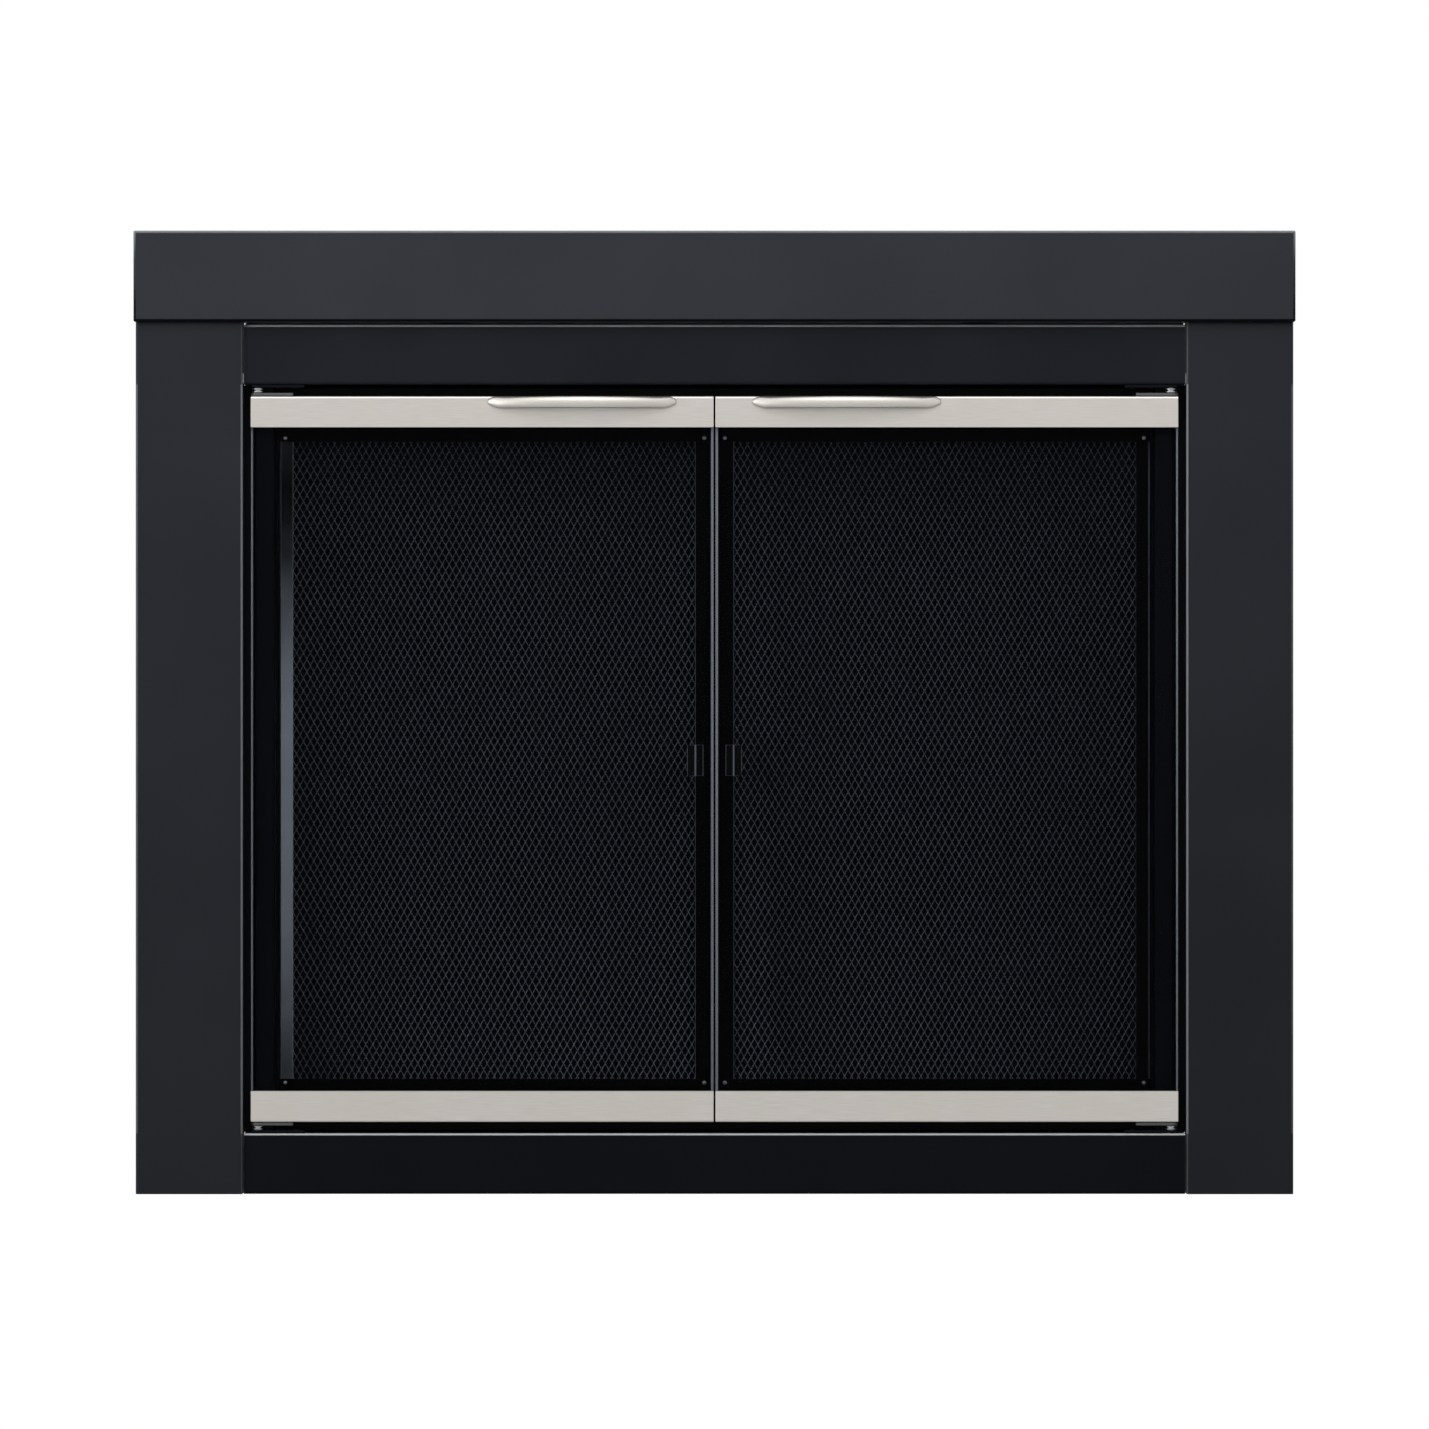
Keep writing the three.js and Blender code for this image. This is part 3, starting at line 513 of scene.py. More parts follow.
for node_name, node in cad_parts.items():
    node.data.materials.clear()
    node.data.materials.append(finish_of(node_name).material)


# ------------------------------------------------------------------ surround

SURROUND_SHEET, SURROUND_BEND, REAR_LIP = 1.5 * MM, 1 * MM, 12 * MM
# The folds round the opening carry a painted highlight towards the opening and a painted shade line beside
# it.
OPENING_FOLD = (0.7, 1, 1.1, 1.1, 0.9, -1, 0)


def header_tray():
    """The header: a tray drawn as rings round the middle of its front. The ring at inset i and depth y is a
    rectangle with rounded corners. Over the front fold the inset is R * (1 - sin a) and the depth is
    R * (1 - cos a), then the rings run back, in along the rear lip, and forward again inside the sheet. A
    painted highlight runs along the upper fold and a painted shade along the lower one. A closing strip at
    its rear, as wide as the top panel, is carried along X."""
    low, high = (np.array(v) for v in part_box("header"))
    gap, beside, corner, tightest = 0.3 * MM, 0.3 * MM, 1.2 * MM, 0.2 * MM
    # A painted highlight along the upper fold and painted shade along the lower one.
    highlight_above, shade_below = [0.9, 0.9], [-1, -1]
    low[2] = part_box("right_post")[1].z + gap
    outer, swing = SURROUND_BEND + SURROUND_SHEET, np.linspace(0, math.pi / 2, 7)
    front = [(outer + beside, low[1], 0)]
    front += [(outer * (1 - math.sin(a)), low[1] + outer * (1 - math.cos(a)), math.sin(2 * a)) for a in swing]
    front += [(0, low[1] + outer + beside, 0)]
    inner = [(1 - math.sin(a), 1 - math.cos(a)) for a in swing[::-1]]
    rear = high[1]
    rings = front + [(0, rear, 0), (REAR_LIP, rear, 0), (REAR_LIP, rear - SURROUND_SHEET, 0)]
    rings += [(SURROUND_SHEET, rear - SURROUND_SHEET, 0)]
    rings += [
        (SURROUND_SHEET + SURROUND_BEND * inset, low[1] + SURROUND_SHEET + SURROUND_BEND * depth, 0)
        for inset, depth in inner
    ]
    quarter = np.linspace(0, math.pi / 2, 5)
    grid, highlight_and_shade = [], []
    for inset, depth, fold_light in rings:
        radius = max(corner - inset, tightest)
        ring = [
            (cx + radius * np.cos(quarter + start), cz + radius * np.sin(quarter + start))
            for cx, cz, start in (
                (high[0] - inset - radius, high[2] - inset - radius, 0),
                (low[0] + inset + radius, high[2] - inset - radius, math.pi / 2),
                (low[0] + inset + radius, low[2] + inset + radius, math.pi),
                (high[0] - inset - radius, low[2] + inset + radius, 1.5 * math.pi),
            )
        ]
        x, z = (np.concatenate(part) for part in zip(*ring))
        grid.append(np.stack([x, np.full(len(x), depth), z], axis=1))
        highlight_and_shade.append(fold_light * np.repeat(highlight_above + shade_below, len(quarter)))
    end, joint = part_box("top_panel")[1].x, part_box("header")[0].z
    strip = block_outline(rear - SURROUND_SHEET, rear, joint, low[2] + SURROUND_SHEET)
    closing, lit_and_shaded = carried(strip, np.zeros(4), "x", -end, end)
    grids, shares = [np.array(grid), closing], [np.array(highlight_and_shade), lit_and_shaded]
    make_piece("header_tray", grids, "frame", HEADER_LIT_COAT, replaced=["header"], highlight_and_shade=shares)


def post_channel(side):
    """A post: a channel with rear lips, and a tab folded in at its top and at its foot. Beside the panels
    its folds carry less painted highlight and shade than along the opening."""
    low, high = (np.array(v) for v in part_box("right_post"))
    path = [
        (low[0] + REAR_LIP, high[1]),
        (low[0], high[1]),
        (low[0], low[1]),
        (high[0], low[1]),
        (high[0], high[1]),
        (high[0] - REAR_LIP, high[1]),
    ]
    # A painted highlight and shade along the fold at the opening, and a painted highlight along the outer
    # front fold.
    outline, highlight_and_shade = folded_section(path, (0, 0, OPENING_FOLD, 0.6, 0, 0), SURROUND_SHEET, SURROUND_BEND)
    inside, tab_depth = SURROUND_SHEET + 0.3 * MM, 26 * MM
    tab = block_outline(low[0] + inside, high[0] - inside, low[1] + SURROUND_SHEET / 2, low[1] + tab_depth)
    sill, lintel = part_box("bottom_panel")[1].z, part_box("top_panel")[0].z
    # How much of the painted highlight and shade the folds keep beside the panels and along the opening.
    fade, beside_panel, along_opening = 0.5 * MM, 0.4, 1
    levels = np.array([sill - fade, sill + fade, lintel - fade, lintel + fade])
    kept = [beside_panel, along_opening, along_opening, beside_panel]
    grid, share = carried(outline, highlight_and_shade, "z", low[2], high[2], stations=levels)
    bars = [(grid, share * np.interp(grid[:, :, 2], levels, kept))]
    for foot in (low[2], high[2] - SURROUND_SHEET):
        bars.append(carried(tab, np.zeros(4), "z", foot, foot + SURROUND_SHEET))
    grids, shares = zip(*bars)
    node = f"{side}_post"
    make_piece(f"{node}_channel", grids, "frame", SURROUND_COAT, SIDES[side], [node], highlight_and_shade=shares)


def panel_channel(which, foot_lip):
    """The top or bottom panel: a channel that lies along X, with a lip at its upper rear edge, and one of the
    height foot_lip at its lower rear edge where that is above 0."""
    node = f"{which}_panel"
    low, high = (np.array(v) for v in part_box(node))
    path = [
        (high[1], high[2] - REAR_LIP),
        (high[1], high[2]),
        (low[1], high[2]),
        (low[1], low[2]),
        (high[1], low[2]),
    ]
    # A painted highlight along the top front fold, with a painted shade line on the bottom panel's, and a
    # faint one along the lower front fold.
    edge_light = [0, 0, OPENING_FOLD if which == "bottom" else 1, 0.15, 0]
    if foot_lip:
        path.append((high[1], low[2] + foot_lip))
        edge_light.append(0)
    outline, highlight_and_shade = folded_section(path, edge_light, SURROUND_SHEET, SURROUND_BEND)
    grid, share = carried(outline, highlight_and_shade, "x", low[0], high[0])
    coat = SILL_SHADED_COAT if which == "bottom" else PANEL_SHADED_COAT
    make_piece(f"{node}_channel", [grid], "frame", coat, replaced=[node], highlight_and_shade=[share])


# ------------------------------------------------------------------ glass doors

def bow_handle(side):
    """A bow handle. Along it runs t from -1 to 1. The outer face swells by 1 - t**2 to its full reach, the
    inner face by the same curve between the feet. Near the ends the top edge drops and the lower edge rises,
    each by a power of the nearness to the end. Each section is a superellipse between the two faces."""
    low, high = (np.array(v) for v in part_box("right_glass_door_handle"))
    half, centre = (high[0] - low[0]) / 2, (high[0] + low[0]) / 2
    reach, seat = high[1] - low[1], high[1]
    foot, bar, tip = 15 * MM, 7 * MM, 3 * MM
    drop, drop_run, drop_power = 2.3 * MM, 5.7 * MM, 1.7
    rise, rise_run, rise_power = 4 * MM, 12 * MM, 1.6
    end_round, end_share = 1.2 * MM, 0.04
    along = half * np.sin(np.linspace(-math.pi / 2, math.pi / 2, 121))
    swell = 1 - (along / half) ** 2
    gap = np.clip(1 - (along / (half - foot)) ** 2, 0, None)
    outer = tip + (reach - tip) * swell
    inner = (reach - bar) * gap
    left = half - np.abs(along)
    rounding = np.sqrt(np.clip(1 - (1 - np.clip(left / end_round, 0, 1)) ** 2, end_share, 1))
    top = high[2] - drop * np.clip(1 - left / drop_run, 0, 1) ** drop_power
    foot_line = low[2] + rise * np.clip(1 - left / rise_run, 0, 1) ** rise_power
    waist = (top + foot_line) / 2
    height, depth = (top - foot_line) * rounding, (outer - inner) * (0.4 + 0.6 * rounding)
    angle = np.linspace(0, 2 * math.pi, 48, endpoint=False)
    blunt = 2 / 2.4
    out = np.sign(np.cos(angle)) * np.abs(np.cos(angle)) ** blunt
    up = np.sign(np.sin(angle)) * np.abs(np.sin(angle)) ** blunt
    grid = np.stack(
        [
            np.broadcast_to(centre + along[:, None], (len(along), len(angle))),
            seat - (inner + depth / 2)[:, None] - out * depth[:, None] / 2,
            waist[:, None] + up * height[:, None] / 2,
        ],
        axis=2,
    )[:, ::-1]
    body = f"{side}_glass_door"
    make_piece(f"{side}_bow_handle", [grid], body, HANDLE_NICKEL, SIDES[side], [f"{body}_handle"])


def trim_bar(side, which):
    """A trim bar: a folded channel with its mouth towards the pane, and its cut ends broken by a small
    round."""
    body = f"{side}_glass_door"
    node = f"{body}_{which}_trim"
    low, high = (np.array(v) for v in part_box(f"right_glass_door_{which}_trim"))
    back, mouth = (high[2], low[2]) if which == "top" else (low[2], high[2])
    sheet, bend, mouth_highlight = 1.2 * MM, 0.6 * MM, 0.2
    path = [(high[1], mouth), (high[1], back), (low[1], back), (low[1], mouth)]
    path = path if which == "top" else path[::-1]
    # A painted highlight along the mouth's cut edges.
    outline, highlight_and_shade = folded_section(path, (mouth_highlight, 0, 0, mouth_highlight), sheet, bend)
    grid, share = carried(outline, highlight_and_shade, "x", low[0], high[0])
    make_piece(f"{side}_{which}_trim_bar", [grid], body, NICKEL, SIDES[side], [node], highlight_and_shade=[share])


def pane_edges(side):
    """The polished upright edges of a pane: half an ellipse that stands proud of the pane's edge and is just
    less deep than the pane, carried along Z, with a narrower root set into the glass."""
    low, high = (np.array(v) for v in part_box("right_glass_pane"))
    swing = np.linspace(-math.pi / 2, math.pi / 2, 11)
    clear, proud, set_in, root = 0.02 * MM, 0.35 * MM, 0.9 * MM, 0.7
    middle, deep = (low[1] + high[1]) / 2, (high[1] - low[1]) / 2 - clear
    bars = []
    for edge, way in ((low[0], -1), (high[0], 1)):
        bulge = np.stack([edge + way * proud * np.cos(swing), middle + deep * np.sin(swing)], axis=1)
        inside = [(edge - way * set_in, middle + deep * root), (edge - way * set_in, middle - deep * root)]
        outline = np.concatenate([bulge, inside])
        bars.append(carried(outline, np.zeros(len(outline)), "z", low[2], high[2]))
    grids, shares = zip(*bars)
    make_piece(f"{side}_pane_edges", grids, f"{side}_glass_door", GLASS_EDGE_HIGHLIGHT, SIDES[side], highlight_and_shade=shares)


def hinge_bushing(side, which):
    """The pivot pin of a hinge: two bright collars with a groove between them, on a pin that ends in the
    leaves. The corners of the collars are broken by small chamfers. Upper is the outline of its upper half,
    as (radius, height) in millimetres from the middle."""
    low, high = (np.array(v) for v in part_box(f"right_glass_door_{which}_pin"))
    centre, half = (low + high) / 2, (high[2] - low[2]) / 2
    collar = half - 2.5 * MM
    upper = [
        (0.0, 0.3),
        (3.2, 0.45),
        (4.4, 0.5),
        (4.7, 0.8),
        (4.7, collar / MM - 0.5),
        (4.2, collar / MM),
        (2.5, collar / MM),
        (2.5, half / MM - 0.4),
        (2.1, half / MM),
        (0.01, half / MM),
    ]
    profile = [(radius, -height) for radius, height in upper[:0:-1]] + upper[1:]
    grid = turned(np.array(profile) * MM, centre, (0, 0, 1), 40)
    body = f"{side}_glass_door"
    make_piece(f"{side}_{which}_hinge_bushing", [grid], body, ZINC, SIDES[side], [f"{body}_{which}_pin"])


# ------------------------------------------------------------------ mesh doors

def expanded_net(side):
    """Expanded metal. Upright zigzag strands stand side by side, half a diamond apart, and touch where they
    turn. Strand k swings between x = k and x = k + 1 half widths, with a short upright stretch at each turn,
    where it overlaps its neighbour. Its flat section is turned about Z by the twist, one way where it runs up
    to the right and the other way where it runs up to the left, as a slit sheet twists when drawn open."""
    low, high = (np.array(v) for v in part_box("right_mesh_door_net"))
    diamond_wide, diamond_high = 5.7 * MM, 10.3 * MM
    columns = 2 * round((high[0] - low[0]) / diamond_wide)
    rows = 2 * round((high[2] - low[2]) / diamond_high)
    wide, thick, twist, bond, overlap = 0.7 * MM, 0.42 * MM, math.radians(33), 0.5 * MM, 0.3
    half_x, half_z = (high[0] - low[0]) / columns, (high[2] - low[2]) / rows
    knot = np.repeat(np.arange(rows + 1), 2)
    z = np.clip(low[2] + knot * half_z + np.tile([-bond, bond], rows + 1), low[2], high[2])
    corner = np.array([(-1, -1), (1, -1), (1, 1), (-1, 1)]) * (wide / 2, thick / 2)
    grids = []
    for strand in range(columns):
        hand = np.where((strand + knot) % 2, 1, -1)
        x = low[0] + (strand + 0.5) * half_x + hand * (half_x / 2 - overlap * wide)
        turn = (twist * hand * np.tile([-1, 1], rows + 1))[:, None]
        grids.append(
            np.stack(
                [
                    x[:, None] + corner[:, 0] * np.cos(turn) - corner[:, 1] * np.sin(turn),
                    (low[1] + high[1]) / 2 + corner[:, 0] * np.sin(turn) + corner[:, 1] * np.cos(turn),
                    np.broadcast_to(z[:, None], (len(z), 4)),
                ],
                axis=2,
            )
        )
    body = f"{side}_mesh_door"
    make_piece(f"{side}_expanded_net", grids, body, NET_GREY_HIGHLIGHT, SIDES[side], [f"{body}_net"], 30)


MESH_SHEET, MESH_BEND = 1.2 * MM, 0.6 * MM
# How much painted shade darkens the pale stile's painted reflection at these heights. Known fault: the first
# height lies below the stile's lower end, which is at 82.5 mm, and is a station too, so the stile's mesh
# folds back below its end.
REFLECTION_HEIGHTS = np.array([60, 127, 159, 200, 282, 405, 487, 520, 553, 585]) * MM
REFLECTION_SHADE = (-0.6, -0.44, -0.33, -0.21, 0, -0.1, -0.38, -0.55, -0.6, -0.65)


def stile_channel(side, which):
    """A stile of a mesh door: a channel along Z with its mouth towards the net, and a short lip at its rear.
    The left door's outer stile carries a painted reflection: pale along its middle, and darkened towards its
    ends by painted shade. The folds at the mouth carry a painted highlight."""
    low, high = (np.array(v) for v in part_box(f"right_mesh_door_{which}_stile"))
    back, mouth = (high[0], low[0]) if which == "outer" else (low[0], high[0])
    rear_lip = 6 * MM
    lip = back + math.copysign(rear_lip, mouth - back)
    path = [(lip, high[1]), (back, high[1]), (back, low[1]), (mouth, low[1])]
    path, edge_light = (path, (0, 0, 0.5, 1)) if which == "inner" else (path[::-1], (0.5, 1, 0, 0))
    outline, highlight_and_shade = folded_section(path, edge_light, MESH_SHEET, MESH_BEND)
    # Only the left door's outer stile gets the painted reflection and its painted shade.
    pale = (side, which) == ("left", "outer")
    grid, share = carried(outline, highlight_and_shade, "z", low[2], high[2], stations=REFLECTION_HEIGHTS if pale else ())
    if pale:
        share = share + np.interp(grid[:, :, 2], REFLECTION_HEIGHTS, REFLECTION_SHADE)
    coat, body = STILE_REFLECTION_COAT if pale else MESH_SHADE_AND_HIGHLIGHT_COAT, f"{side}_mesh_door"
    node = f"{body}_{which}_stile"
    make_piece(f"{side}_{which}_stile_channel", [grid], body, coat, SIDES[side], [node], highlight_and_shade=[share])


def finger_pull(side):
    """A finger pull: a strip folded into a step and carried along Z. Its free corners are rounded: near each
    end no point lies further out than the tip less c - sqrt(c**2 - (c - distance)**2)."""
    low, high = (np.array(v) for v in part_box("right_mesh_door_pull"))
    step, corner, edge, nearest_station = 5.7 * MM, 3 * MM, 0.3 * MM, 0.4 * MM
    web = low[0] + step
    seat = high[1] - MESH_SHEET
    path = [(low[0], seat), (web, seat), (web, low[1]), (high[0], low[1])]
    # A painted highlight along every edge and fold of the pull.
    outline, highlight_and_shade = folded_section(path, (1, 1, 1, 1), MESH_SHEET, MESH_BEND)
    inside = corner * (1 - np.cos(np.linspace(0, math.pi / 2, 9)))
    inside = inside[inside > nearest_station]
    stations = np.concatenate([low[2] + inside, (high[2] - inside)[::-1]])
    grid, share = carried(outline, highlight_and_shade, "z", low[2], high[2], edge, stations)
    distance = np.minimum(grid[:, :, 2] - low[2], high[2] - grid[:, :, 2])
    reach = high[0] - corner + np.sqrt(corner**2 - np.clip(corner - distance, 0, corner) ** 2)
    grid[:, :, 0] = np.minimum(grid[:, :, 0], reach)
    body = f"{side}_mesh_door"
    make_piece(f"{side}_finger_pull", [grid], body, PULL_SHADE_AND_HIGHLIGHT_COAT, SIDES[side], [f"{body}_pull"], highlight_and_shade=[share])


# ------------------------------------------------------------------ fastenings

def dome(radius, height, rings=6):
    """A domed head's profile, from its seat to its crown: a quarter ellipse on a short upright rim."""
    swing = np.linspace(0, math.pi / 2, rings)
    rim, innermost = height * 0.25, radius * 0.02
    rise = rim + (height - rim) * np.sin(swing)
    arch = np.stack([np.maximum(radius * np.cos(swing), innermost), rise], axis=1)
    return np.concatenate([[(radius, 0)], arch])


def rivet(name, centre, axis, radius, height, body, finish, side):
    """A rivet's domed head."""
    make_piece(name, [turned(dome(radius, height), centre, axis, 20)], body, finish, side)


def cross_screw(name, centre, axis, radius, height, body, finish, side):
    """A pan-head screw with a cross recess: the dome's points are pressed in where they lie in either arm of
    the cross, deeper towards its middle. An arm fades out across its own width and over its length."""
    profile = dome(radius, height, 14)
    angle = np.linspace(0, 2 * math.pi, 64, endpoint=False)
    u, v = np.cos(angle) * profile[:, :1], np.sin(angle) * profile[:, :1]
    near, far = np.minimum(abs(u), abs(v)), np.maximum(abs(u), abs(v))
    half_width, width_fade, length, length_fade = (share * radius for share in (0.2, 0.08, 0.6, 0.12))
    arm = np.clip((half_width - near) / width_fade, 0, 1) * np.clip((length - far) / length_fade, 0, 1)
    depth = arm * (1 - 0.5 * far / radius) * height * 0.6
    grid = turned(profile, centre, axis, len(angle)) - depth[:, :, None] * np.array(axis, float)
    make_piece(name, [grid], body, finish, side, sharp=30)


def clamp_bolt(side):
    """The lintel clamp's bolt. The radius of its thread falls by a triangle wave of the height plus the
    angle, and tapers in over the first turns. The radius of its six-sided head is the distance to the nearest
    flat over the cosine of the angle from it, cut back a little at the crown."""
    low, high = (np.array(v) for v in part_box("right_lintel_clamp_bolt"))
    middle, flats, head = (low + high) / 2, (high[2] - low[2]) / 2, 5.3 * MM
    pitch, depth, radius, shank = 1.25 * MM, 0.7 * MM, 4 * MM, high[1] - low[1] - head
    tip, tip_turns, head_share, crown, shoulder = 0.78, 2, 0.985, 0.9, 0.85
    angle = np.linspace(0, 2 * math.pi, 36, endpoint=False)
    along = np.linspace(0, shank, int(shank / pitch * 8))[:, None]
    wave = 1 - np.abs(2 * ((along / pitch + angle / (2 * math.pi)) % 1) - 1)
    thread = (radius - depth * wave) * (tip + (1 - tip) * np.clip(along / (tip_turns * pitch), 0, 1))
    hexagon = head_share * flats / np.cos((angle + math.pi / 6) % (math.pi / 3) - math.pi / 6)
    radii = np.concatenate([thread, hexagon[None], hexagon[None], crown * hexagon[None]])
    heights = np.concatenate([along, np.array([[0], [shoulder], [1]]) * head + shank])
    grid = np.stack(
        [
            middle[0] + radii * np.cos(angle),
            np.broadcast_to(low[1] + heights, radii.shape),
            middle[2] + radii * np.sin(angle),
        ],
        axis=2,
    )[:, ::-1]
    node = f"{side}_lintel_clamp_bolt"
    make_piece(f"{side}_clamp_bolt", [grid], "frame", ZINC, SIDES[side], [node], 25)


# The radius and height of each kind of head.
RIVET_HEAD, LEAF_SCREW, HANDLE_SCREW = (1.7 * MM, 1.2 * MM), (3 * MM, 1.4 * MM), (3 * MM, 1.8 * MM)
BRACKET_SCREW, CLAMP_SCREW = (3.4 * MM, 2.2 * MM), (4.2 * MM, 2.6 * MM)


def add_fastenings(side):
    """The rivets and screws of one side, each on a face of what it fastens."""

    def screw(name, place, axis, head, body="frame", finish=ZINC):
        """A cross_screw of this side, with a head's radius and height."""
        cross_screw(f"{side}_{name}", place, axis, *head, body, finish, SIDES[side])

    rail_low, rail_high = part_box("right_mesh_door_top_rail")
    foot_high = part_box("right_mesh_door_bottom_rail")[1]
    from_outer, from_inner, from_edge = 5 * MM, 6.5 * MM, 3.2 * MM
    for end, x in (("outer", rail_high.x - from_outer), ("inner", rail_low.x + from_inner)):
        for level, z in (("upper", rail_low.z + from_edge), ("lower", foot_high.z - from_edge)):
            name, place = f"{side}_{level}_{end}_rivet", (x, rail_low.y, z)
            rivet(name, place, (0, -1, 0), *RIVET_HEAD, f"{side}_mesh_door", ZINC, SIDES[side])

    leaf_low, leaf_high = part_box("right_upper_frame_hinge_leaf")
    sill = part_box("right_lower_frame_hinge_leaf")[1].z
    middle, leaf_pitch = (leaf_low.y + leaf_high.y) / 2, 14 * MM
    for number in (1, 2):
        x = leaf_low.x + (number - 0.5) * leaf_pitch
        for which, z, up in (("upper", leaf_low.z, -1), ("lower", sill, 1)):
            screw(f"{which}_leaf_screw_{number}", (x, middle, z), (0, 0, up), LEAF_SCREW, finish=STOP_SHADED_COAT)

    sheet, inset, side_inset, bracket_pitch = 2 * MM, 8 * MM, 7 * MM, 16 * MM
    for which in ("upper", "lower"):
        low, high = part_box(f"right_{which}_corner_bracket")
        for number in (1, 2):
            z = (low.z + high.z) / 2 + (number - 1.5) * bracket_pitch
            front, beside = (low.x + inset, low.y + sheet, z), (high.x - sheet, high.y - side_inset, z)
            screw(f"{which}_bracket_front_screw_{number}", front, (0, 1, 0), BRACKET_SCREW)
            screw(f"{which}_bracket_side_screw_{number}", beside, (-1, 0, 0), BRACKET_SCREW)
    low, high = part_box("right_floor_bracket")
    for number, x in enumerate((low.x + inset, high.x - inset), 1):
        place = (x, low.y + sheet, high.z - inset)
        screw(f"floor_bracket_screw_{number}", place, (0, 1, 0), BRACKET_SCREW)

    low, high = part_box("right_lintel_clamp")
    clamp_inset, clamp_sheet = 12 * MM, 2.5 * MM
    place = ((low.x + high.x) / 2, low.y + clamp_inset, low.z + clamp_sheet)
    screw("lintel_clamp_screw", place, (0, 0, 1), CLAMP_SCREW)

    low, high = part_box("right_glass_door_handle")
    trim_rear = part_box("right_glass_door_top_trim")[1].y
    for number, x in enumerate((low.x + inset, high.x - inset), 1):
        place = (x, trim_rear, (low.z + high.z) / 2)
        screw(f"handle_screw_{number}", place, (0, 1, 0), HANDLE_SCREW, f"{side}_glass_door")


BOTTOM_PANEL_LIP = 22 * MM

header_tray()
panel_channel("top", 0)
panel_channel("bottom", BOTTOM_PANEL_LIP)
for side_name in SIDES:
    post_channel(side_name)
    bow_handle(side_name)
    pane_edges(side_name)
    for which_end in ("top", "bottom"):
        trim_bar(side_name, which_end)
        hinge_bushing(side_name, which_end)
    expanded_net(side_name)
    stile_channel(side_name, "outer")
    stile_channel(side_name, "inner")
    finger_pull(side_name)
    clamp_bolt(side_name)
    add_fastenings(side_name)


# ------------------------------------------------------------------ stage, light and camera

def flat_sheet(name, corners):
    """A four-cornered sheet that belongs to the stage, not to the object."""
    mesh = bpy.data.meshes.new(name)
    mesh.from_pydata(corners, [], [(0, 1, 2, 3)])
    made = bpy.data.objects.new(name, mesh)
    bpy.context.scene.collection.objects.link(made)
    return made


# The floor looks white to the camera and pale in reflections, and is a matt white where light falls on it.
FLOOR_REACH, GLOW_SHARE = 30, 0.88
FLOOR_WHITE, MIRRORED_WHITE, MATT_WHITE = (1.13, 1.13, 1.13, 1), (0.9, 0.9, 0.9, 1), (0.8, 0.8, 0.8, 1)
corners = [(x * FLOOR_REACH, y * FLOOR_REACH, 0) for x, y in ((-1, -1), (1, -1), (1, 1), (-1, 1))]
floor = flat_sheet("floor", corners)
pale = Finish("pale_floor")
path = pale.node("LightPath").socket.node
seen, mirrored = Value(pale, path.outputs["Is Camera Ray"]), Value(pale, path.outputs["Is Glossy Ray"])
glow = pale.node("Emission", {}, {"Color": pale.mixed(mirrored, FLOOR_WHITE, MIRRORED_WHITE)})
matt = pale.node("BsdfDiffuse", {}, {"Color": MATT_WHITE})
pale.ends_in(pale.node("MixShader", {}, {0: (seen + mirrored) * GLOW_SHARE, 1: matt, 2: glow}))
floor.data.materials.append(pale.material)
floor.visible_diffuse = False

# A faintly glowing near-black sheet fills the throat of the inner frame, as seen from the room: painted shade
# for the dark of a fireplace.
jamb_low, jamb_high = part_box("right_jamb")
spare, before_rear = 1 * MM, 0.5 * MM
edge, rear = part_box("right_post")[0].x + spare, jamb_high.y - before_rear
foot, head = jamb_low.z - spare, jamb_high.z + spare
corners = [(-edge, rear, foot), (edge, rear, foot), (edge, rear, head), (-edge, rear, head)]
dark = flat_sheet("painted_shade_of_the_fireplace", corners)
throat_shade = Finish("painted_shade_backdrop")
behind = throat_shade.node("NewGeometry", output=6)
clear = throat_shade.node("BsdfTransparent", {}, {"Color": (1, 1, 1, 1)})
black = throat_shade.node("Emission", {}, {"Color": (0.0012, 0.0014, 0.002, 1), "Strength": 1.0})
throat_shade.ends_in(throat_shade.node("MixShader", {}, {0: behind, 1: black, 2: clear}))
dark.data.materials.append(throat_shade.material)
dark.visible_shadow = False
dark.visible_diffuse = False

world = bpy.data.worlds.new("studio")
bpy.context.scene.world = world
sky = Recipe(world, "World")
ray = sky.node("LightPath").socket.node
shown = Value(sky, ray.outputs["Is Camera Ray"])
mirrored = Value(sky, ray.outputs["Is Glossy Ray"])
crossed = Value(sky, ray.outputs["Is Transmission Ray"])
white = sky.node("Math", {"operation": "MAXIMUM"}, {0: shown, 1: crossed})
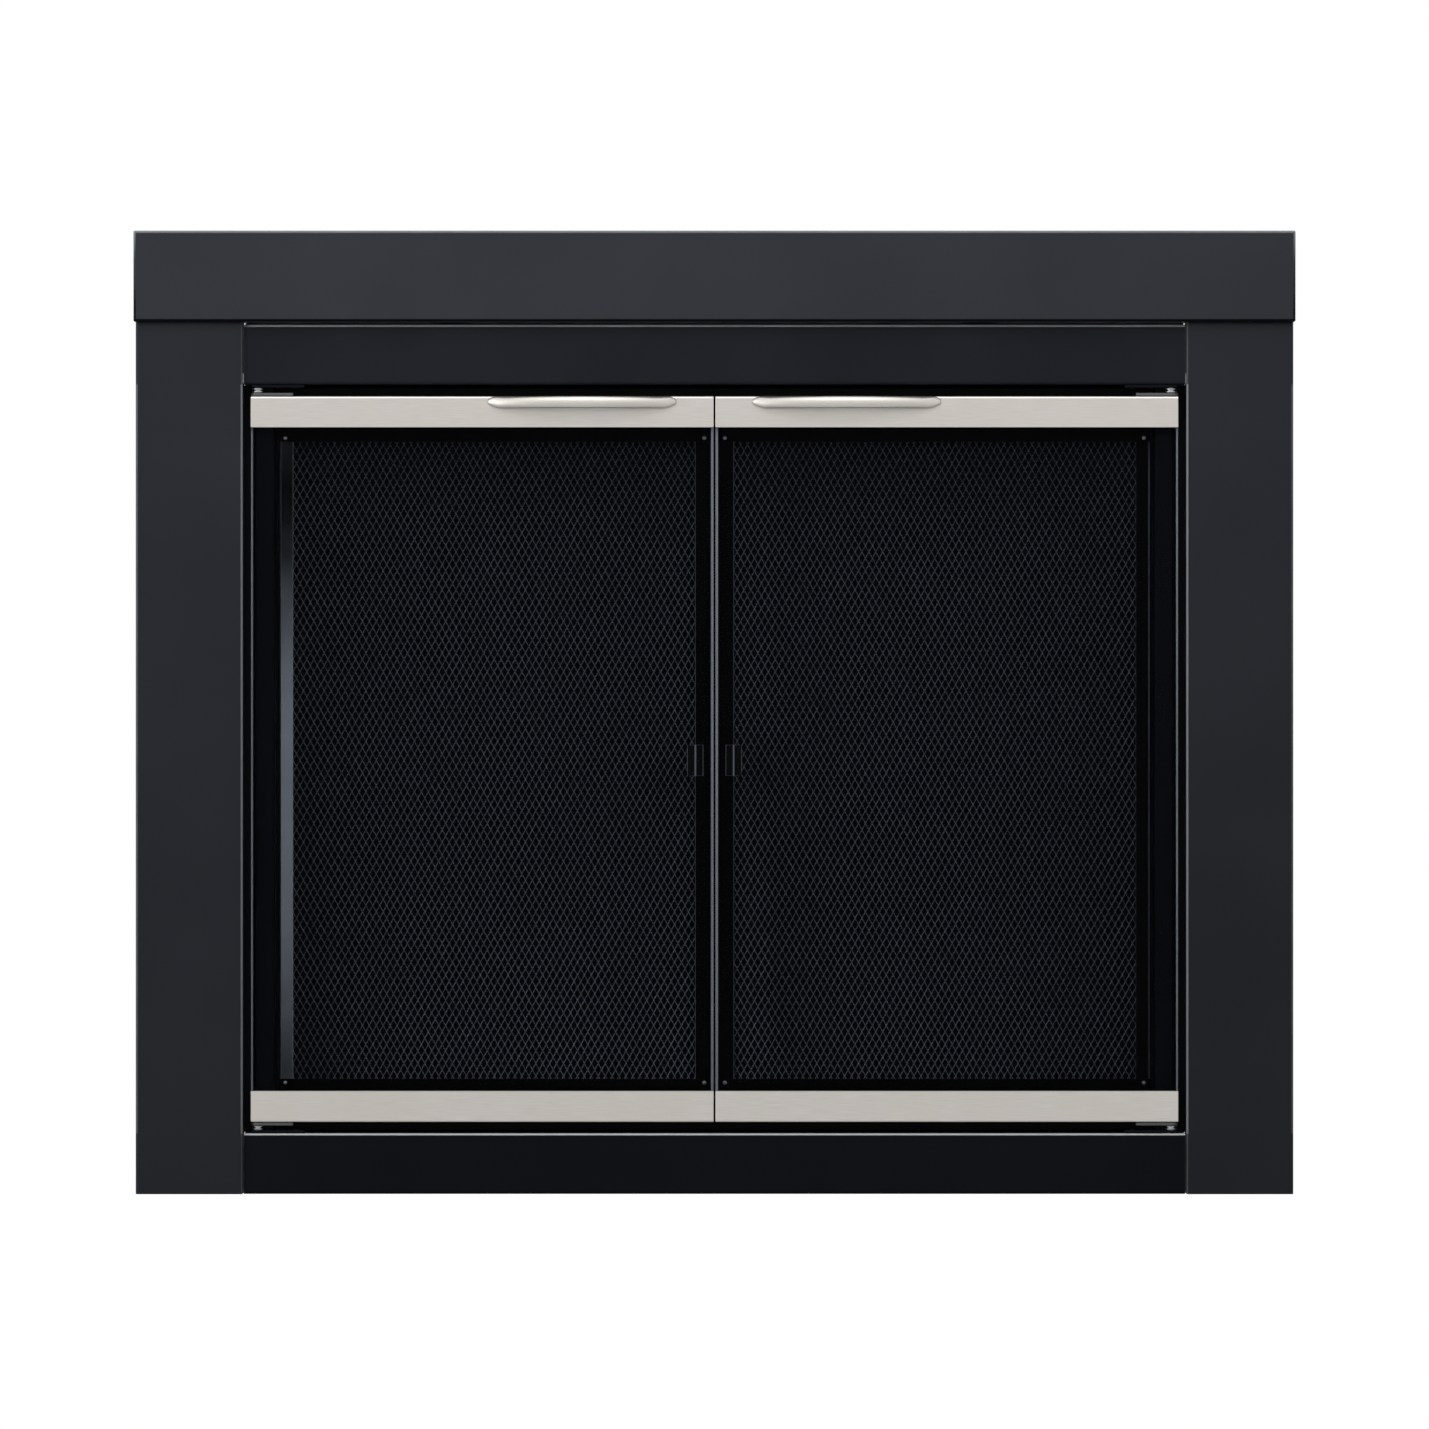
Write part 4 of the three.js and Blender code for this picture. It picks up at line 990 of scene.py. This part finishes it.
# The sky is full white to the camera, through glass and in mirrors, and dim as a source of light.
dim = 0.08
level = dim + mirrored * (1 - dim)
level = level + white * (1 - level)
sky.ends_in(sky.node("Background", {}, {"Color": (1, 1, 1, 1), "Strength": level}))


def soft_lamp(name, place, aim, width, height, watts, spread=180):
    """A rectangular lamp that shines from its place to its aim, and that the camera doesn't see."""
    light = bpy.data.lights.new(name, "AREA")
    light.shape, light.size, light.size_y, light.energy = "RECTANGLE", width, height, watts
    light.spread = math.radians(spread)
    lamp = bpy.data.objects.new(name, light)
    lamp.location = place
    way = np.array(aim, float) - np.array(place, float)
    lamp.rotation_euler = (
        math.atan2(math.hypot(way[0], way[1]), -way[2]),
        0,
        math.atan2(way[1], way[0]) - math.pi / 2,
    )
    lamp.visible_camera = False
    bpy.context.scene.collection.objects.link(lamp)


soft_lamp("key", (0, -1.7, 1.6), (0, 0, 1.12), 2.2, 0.42, 0.8, 66)
soft_lamp("above", (0, -0.7, 1.5), (0, 0, 0.75), 2.2, 1.3, 4.1, 90)
soft_lamp("left_side", (-2.2, -0.9, 0.7), (0, 0, 0.6), 0.3, 1.2, 12)
soft_lamp("right_side", (2.2, -0.9, 0.7), (0, 0, 0.6), 0.3, 1.2, 1.5)

# The camera sees the photograph's frame from straight in front. The hearth lies at HEARTH_ROW in it.
METRES_PER_PIXEL = 0.8194 * MM
FRAME_PIXELS = 1429
HEARTH_ROW = 1194.6
DISTANCE = 8.0
SENSOR_WIDTH = 36
front_of_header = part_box("header")[0].y
lens = bpy.data.cameras.new("camera")
lens.sensor_width = SENSOR_WIDTH
lens.lens = SENSOR_WIDTH * DISTANCE / (FRAME_PIXELS * METRES_PER_PIXEL)
lens.clip_end = 100
camera = bpy.data.objects.new("camera", lens)
camera.location = (0, front_of_header - DISTANCE, (HEARTH_ROW - FRAME_PIXELS / 2) * METRES_PER_PIXEL)
camera.rotation_euler = (math.pi / 2, 0, 0)
bpy.context.scene.collection.objects.link(camera)
bpy.context.scene.camera = camera
bpy.context.scene.view_settings.view_transform = "Standard"
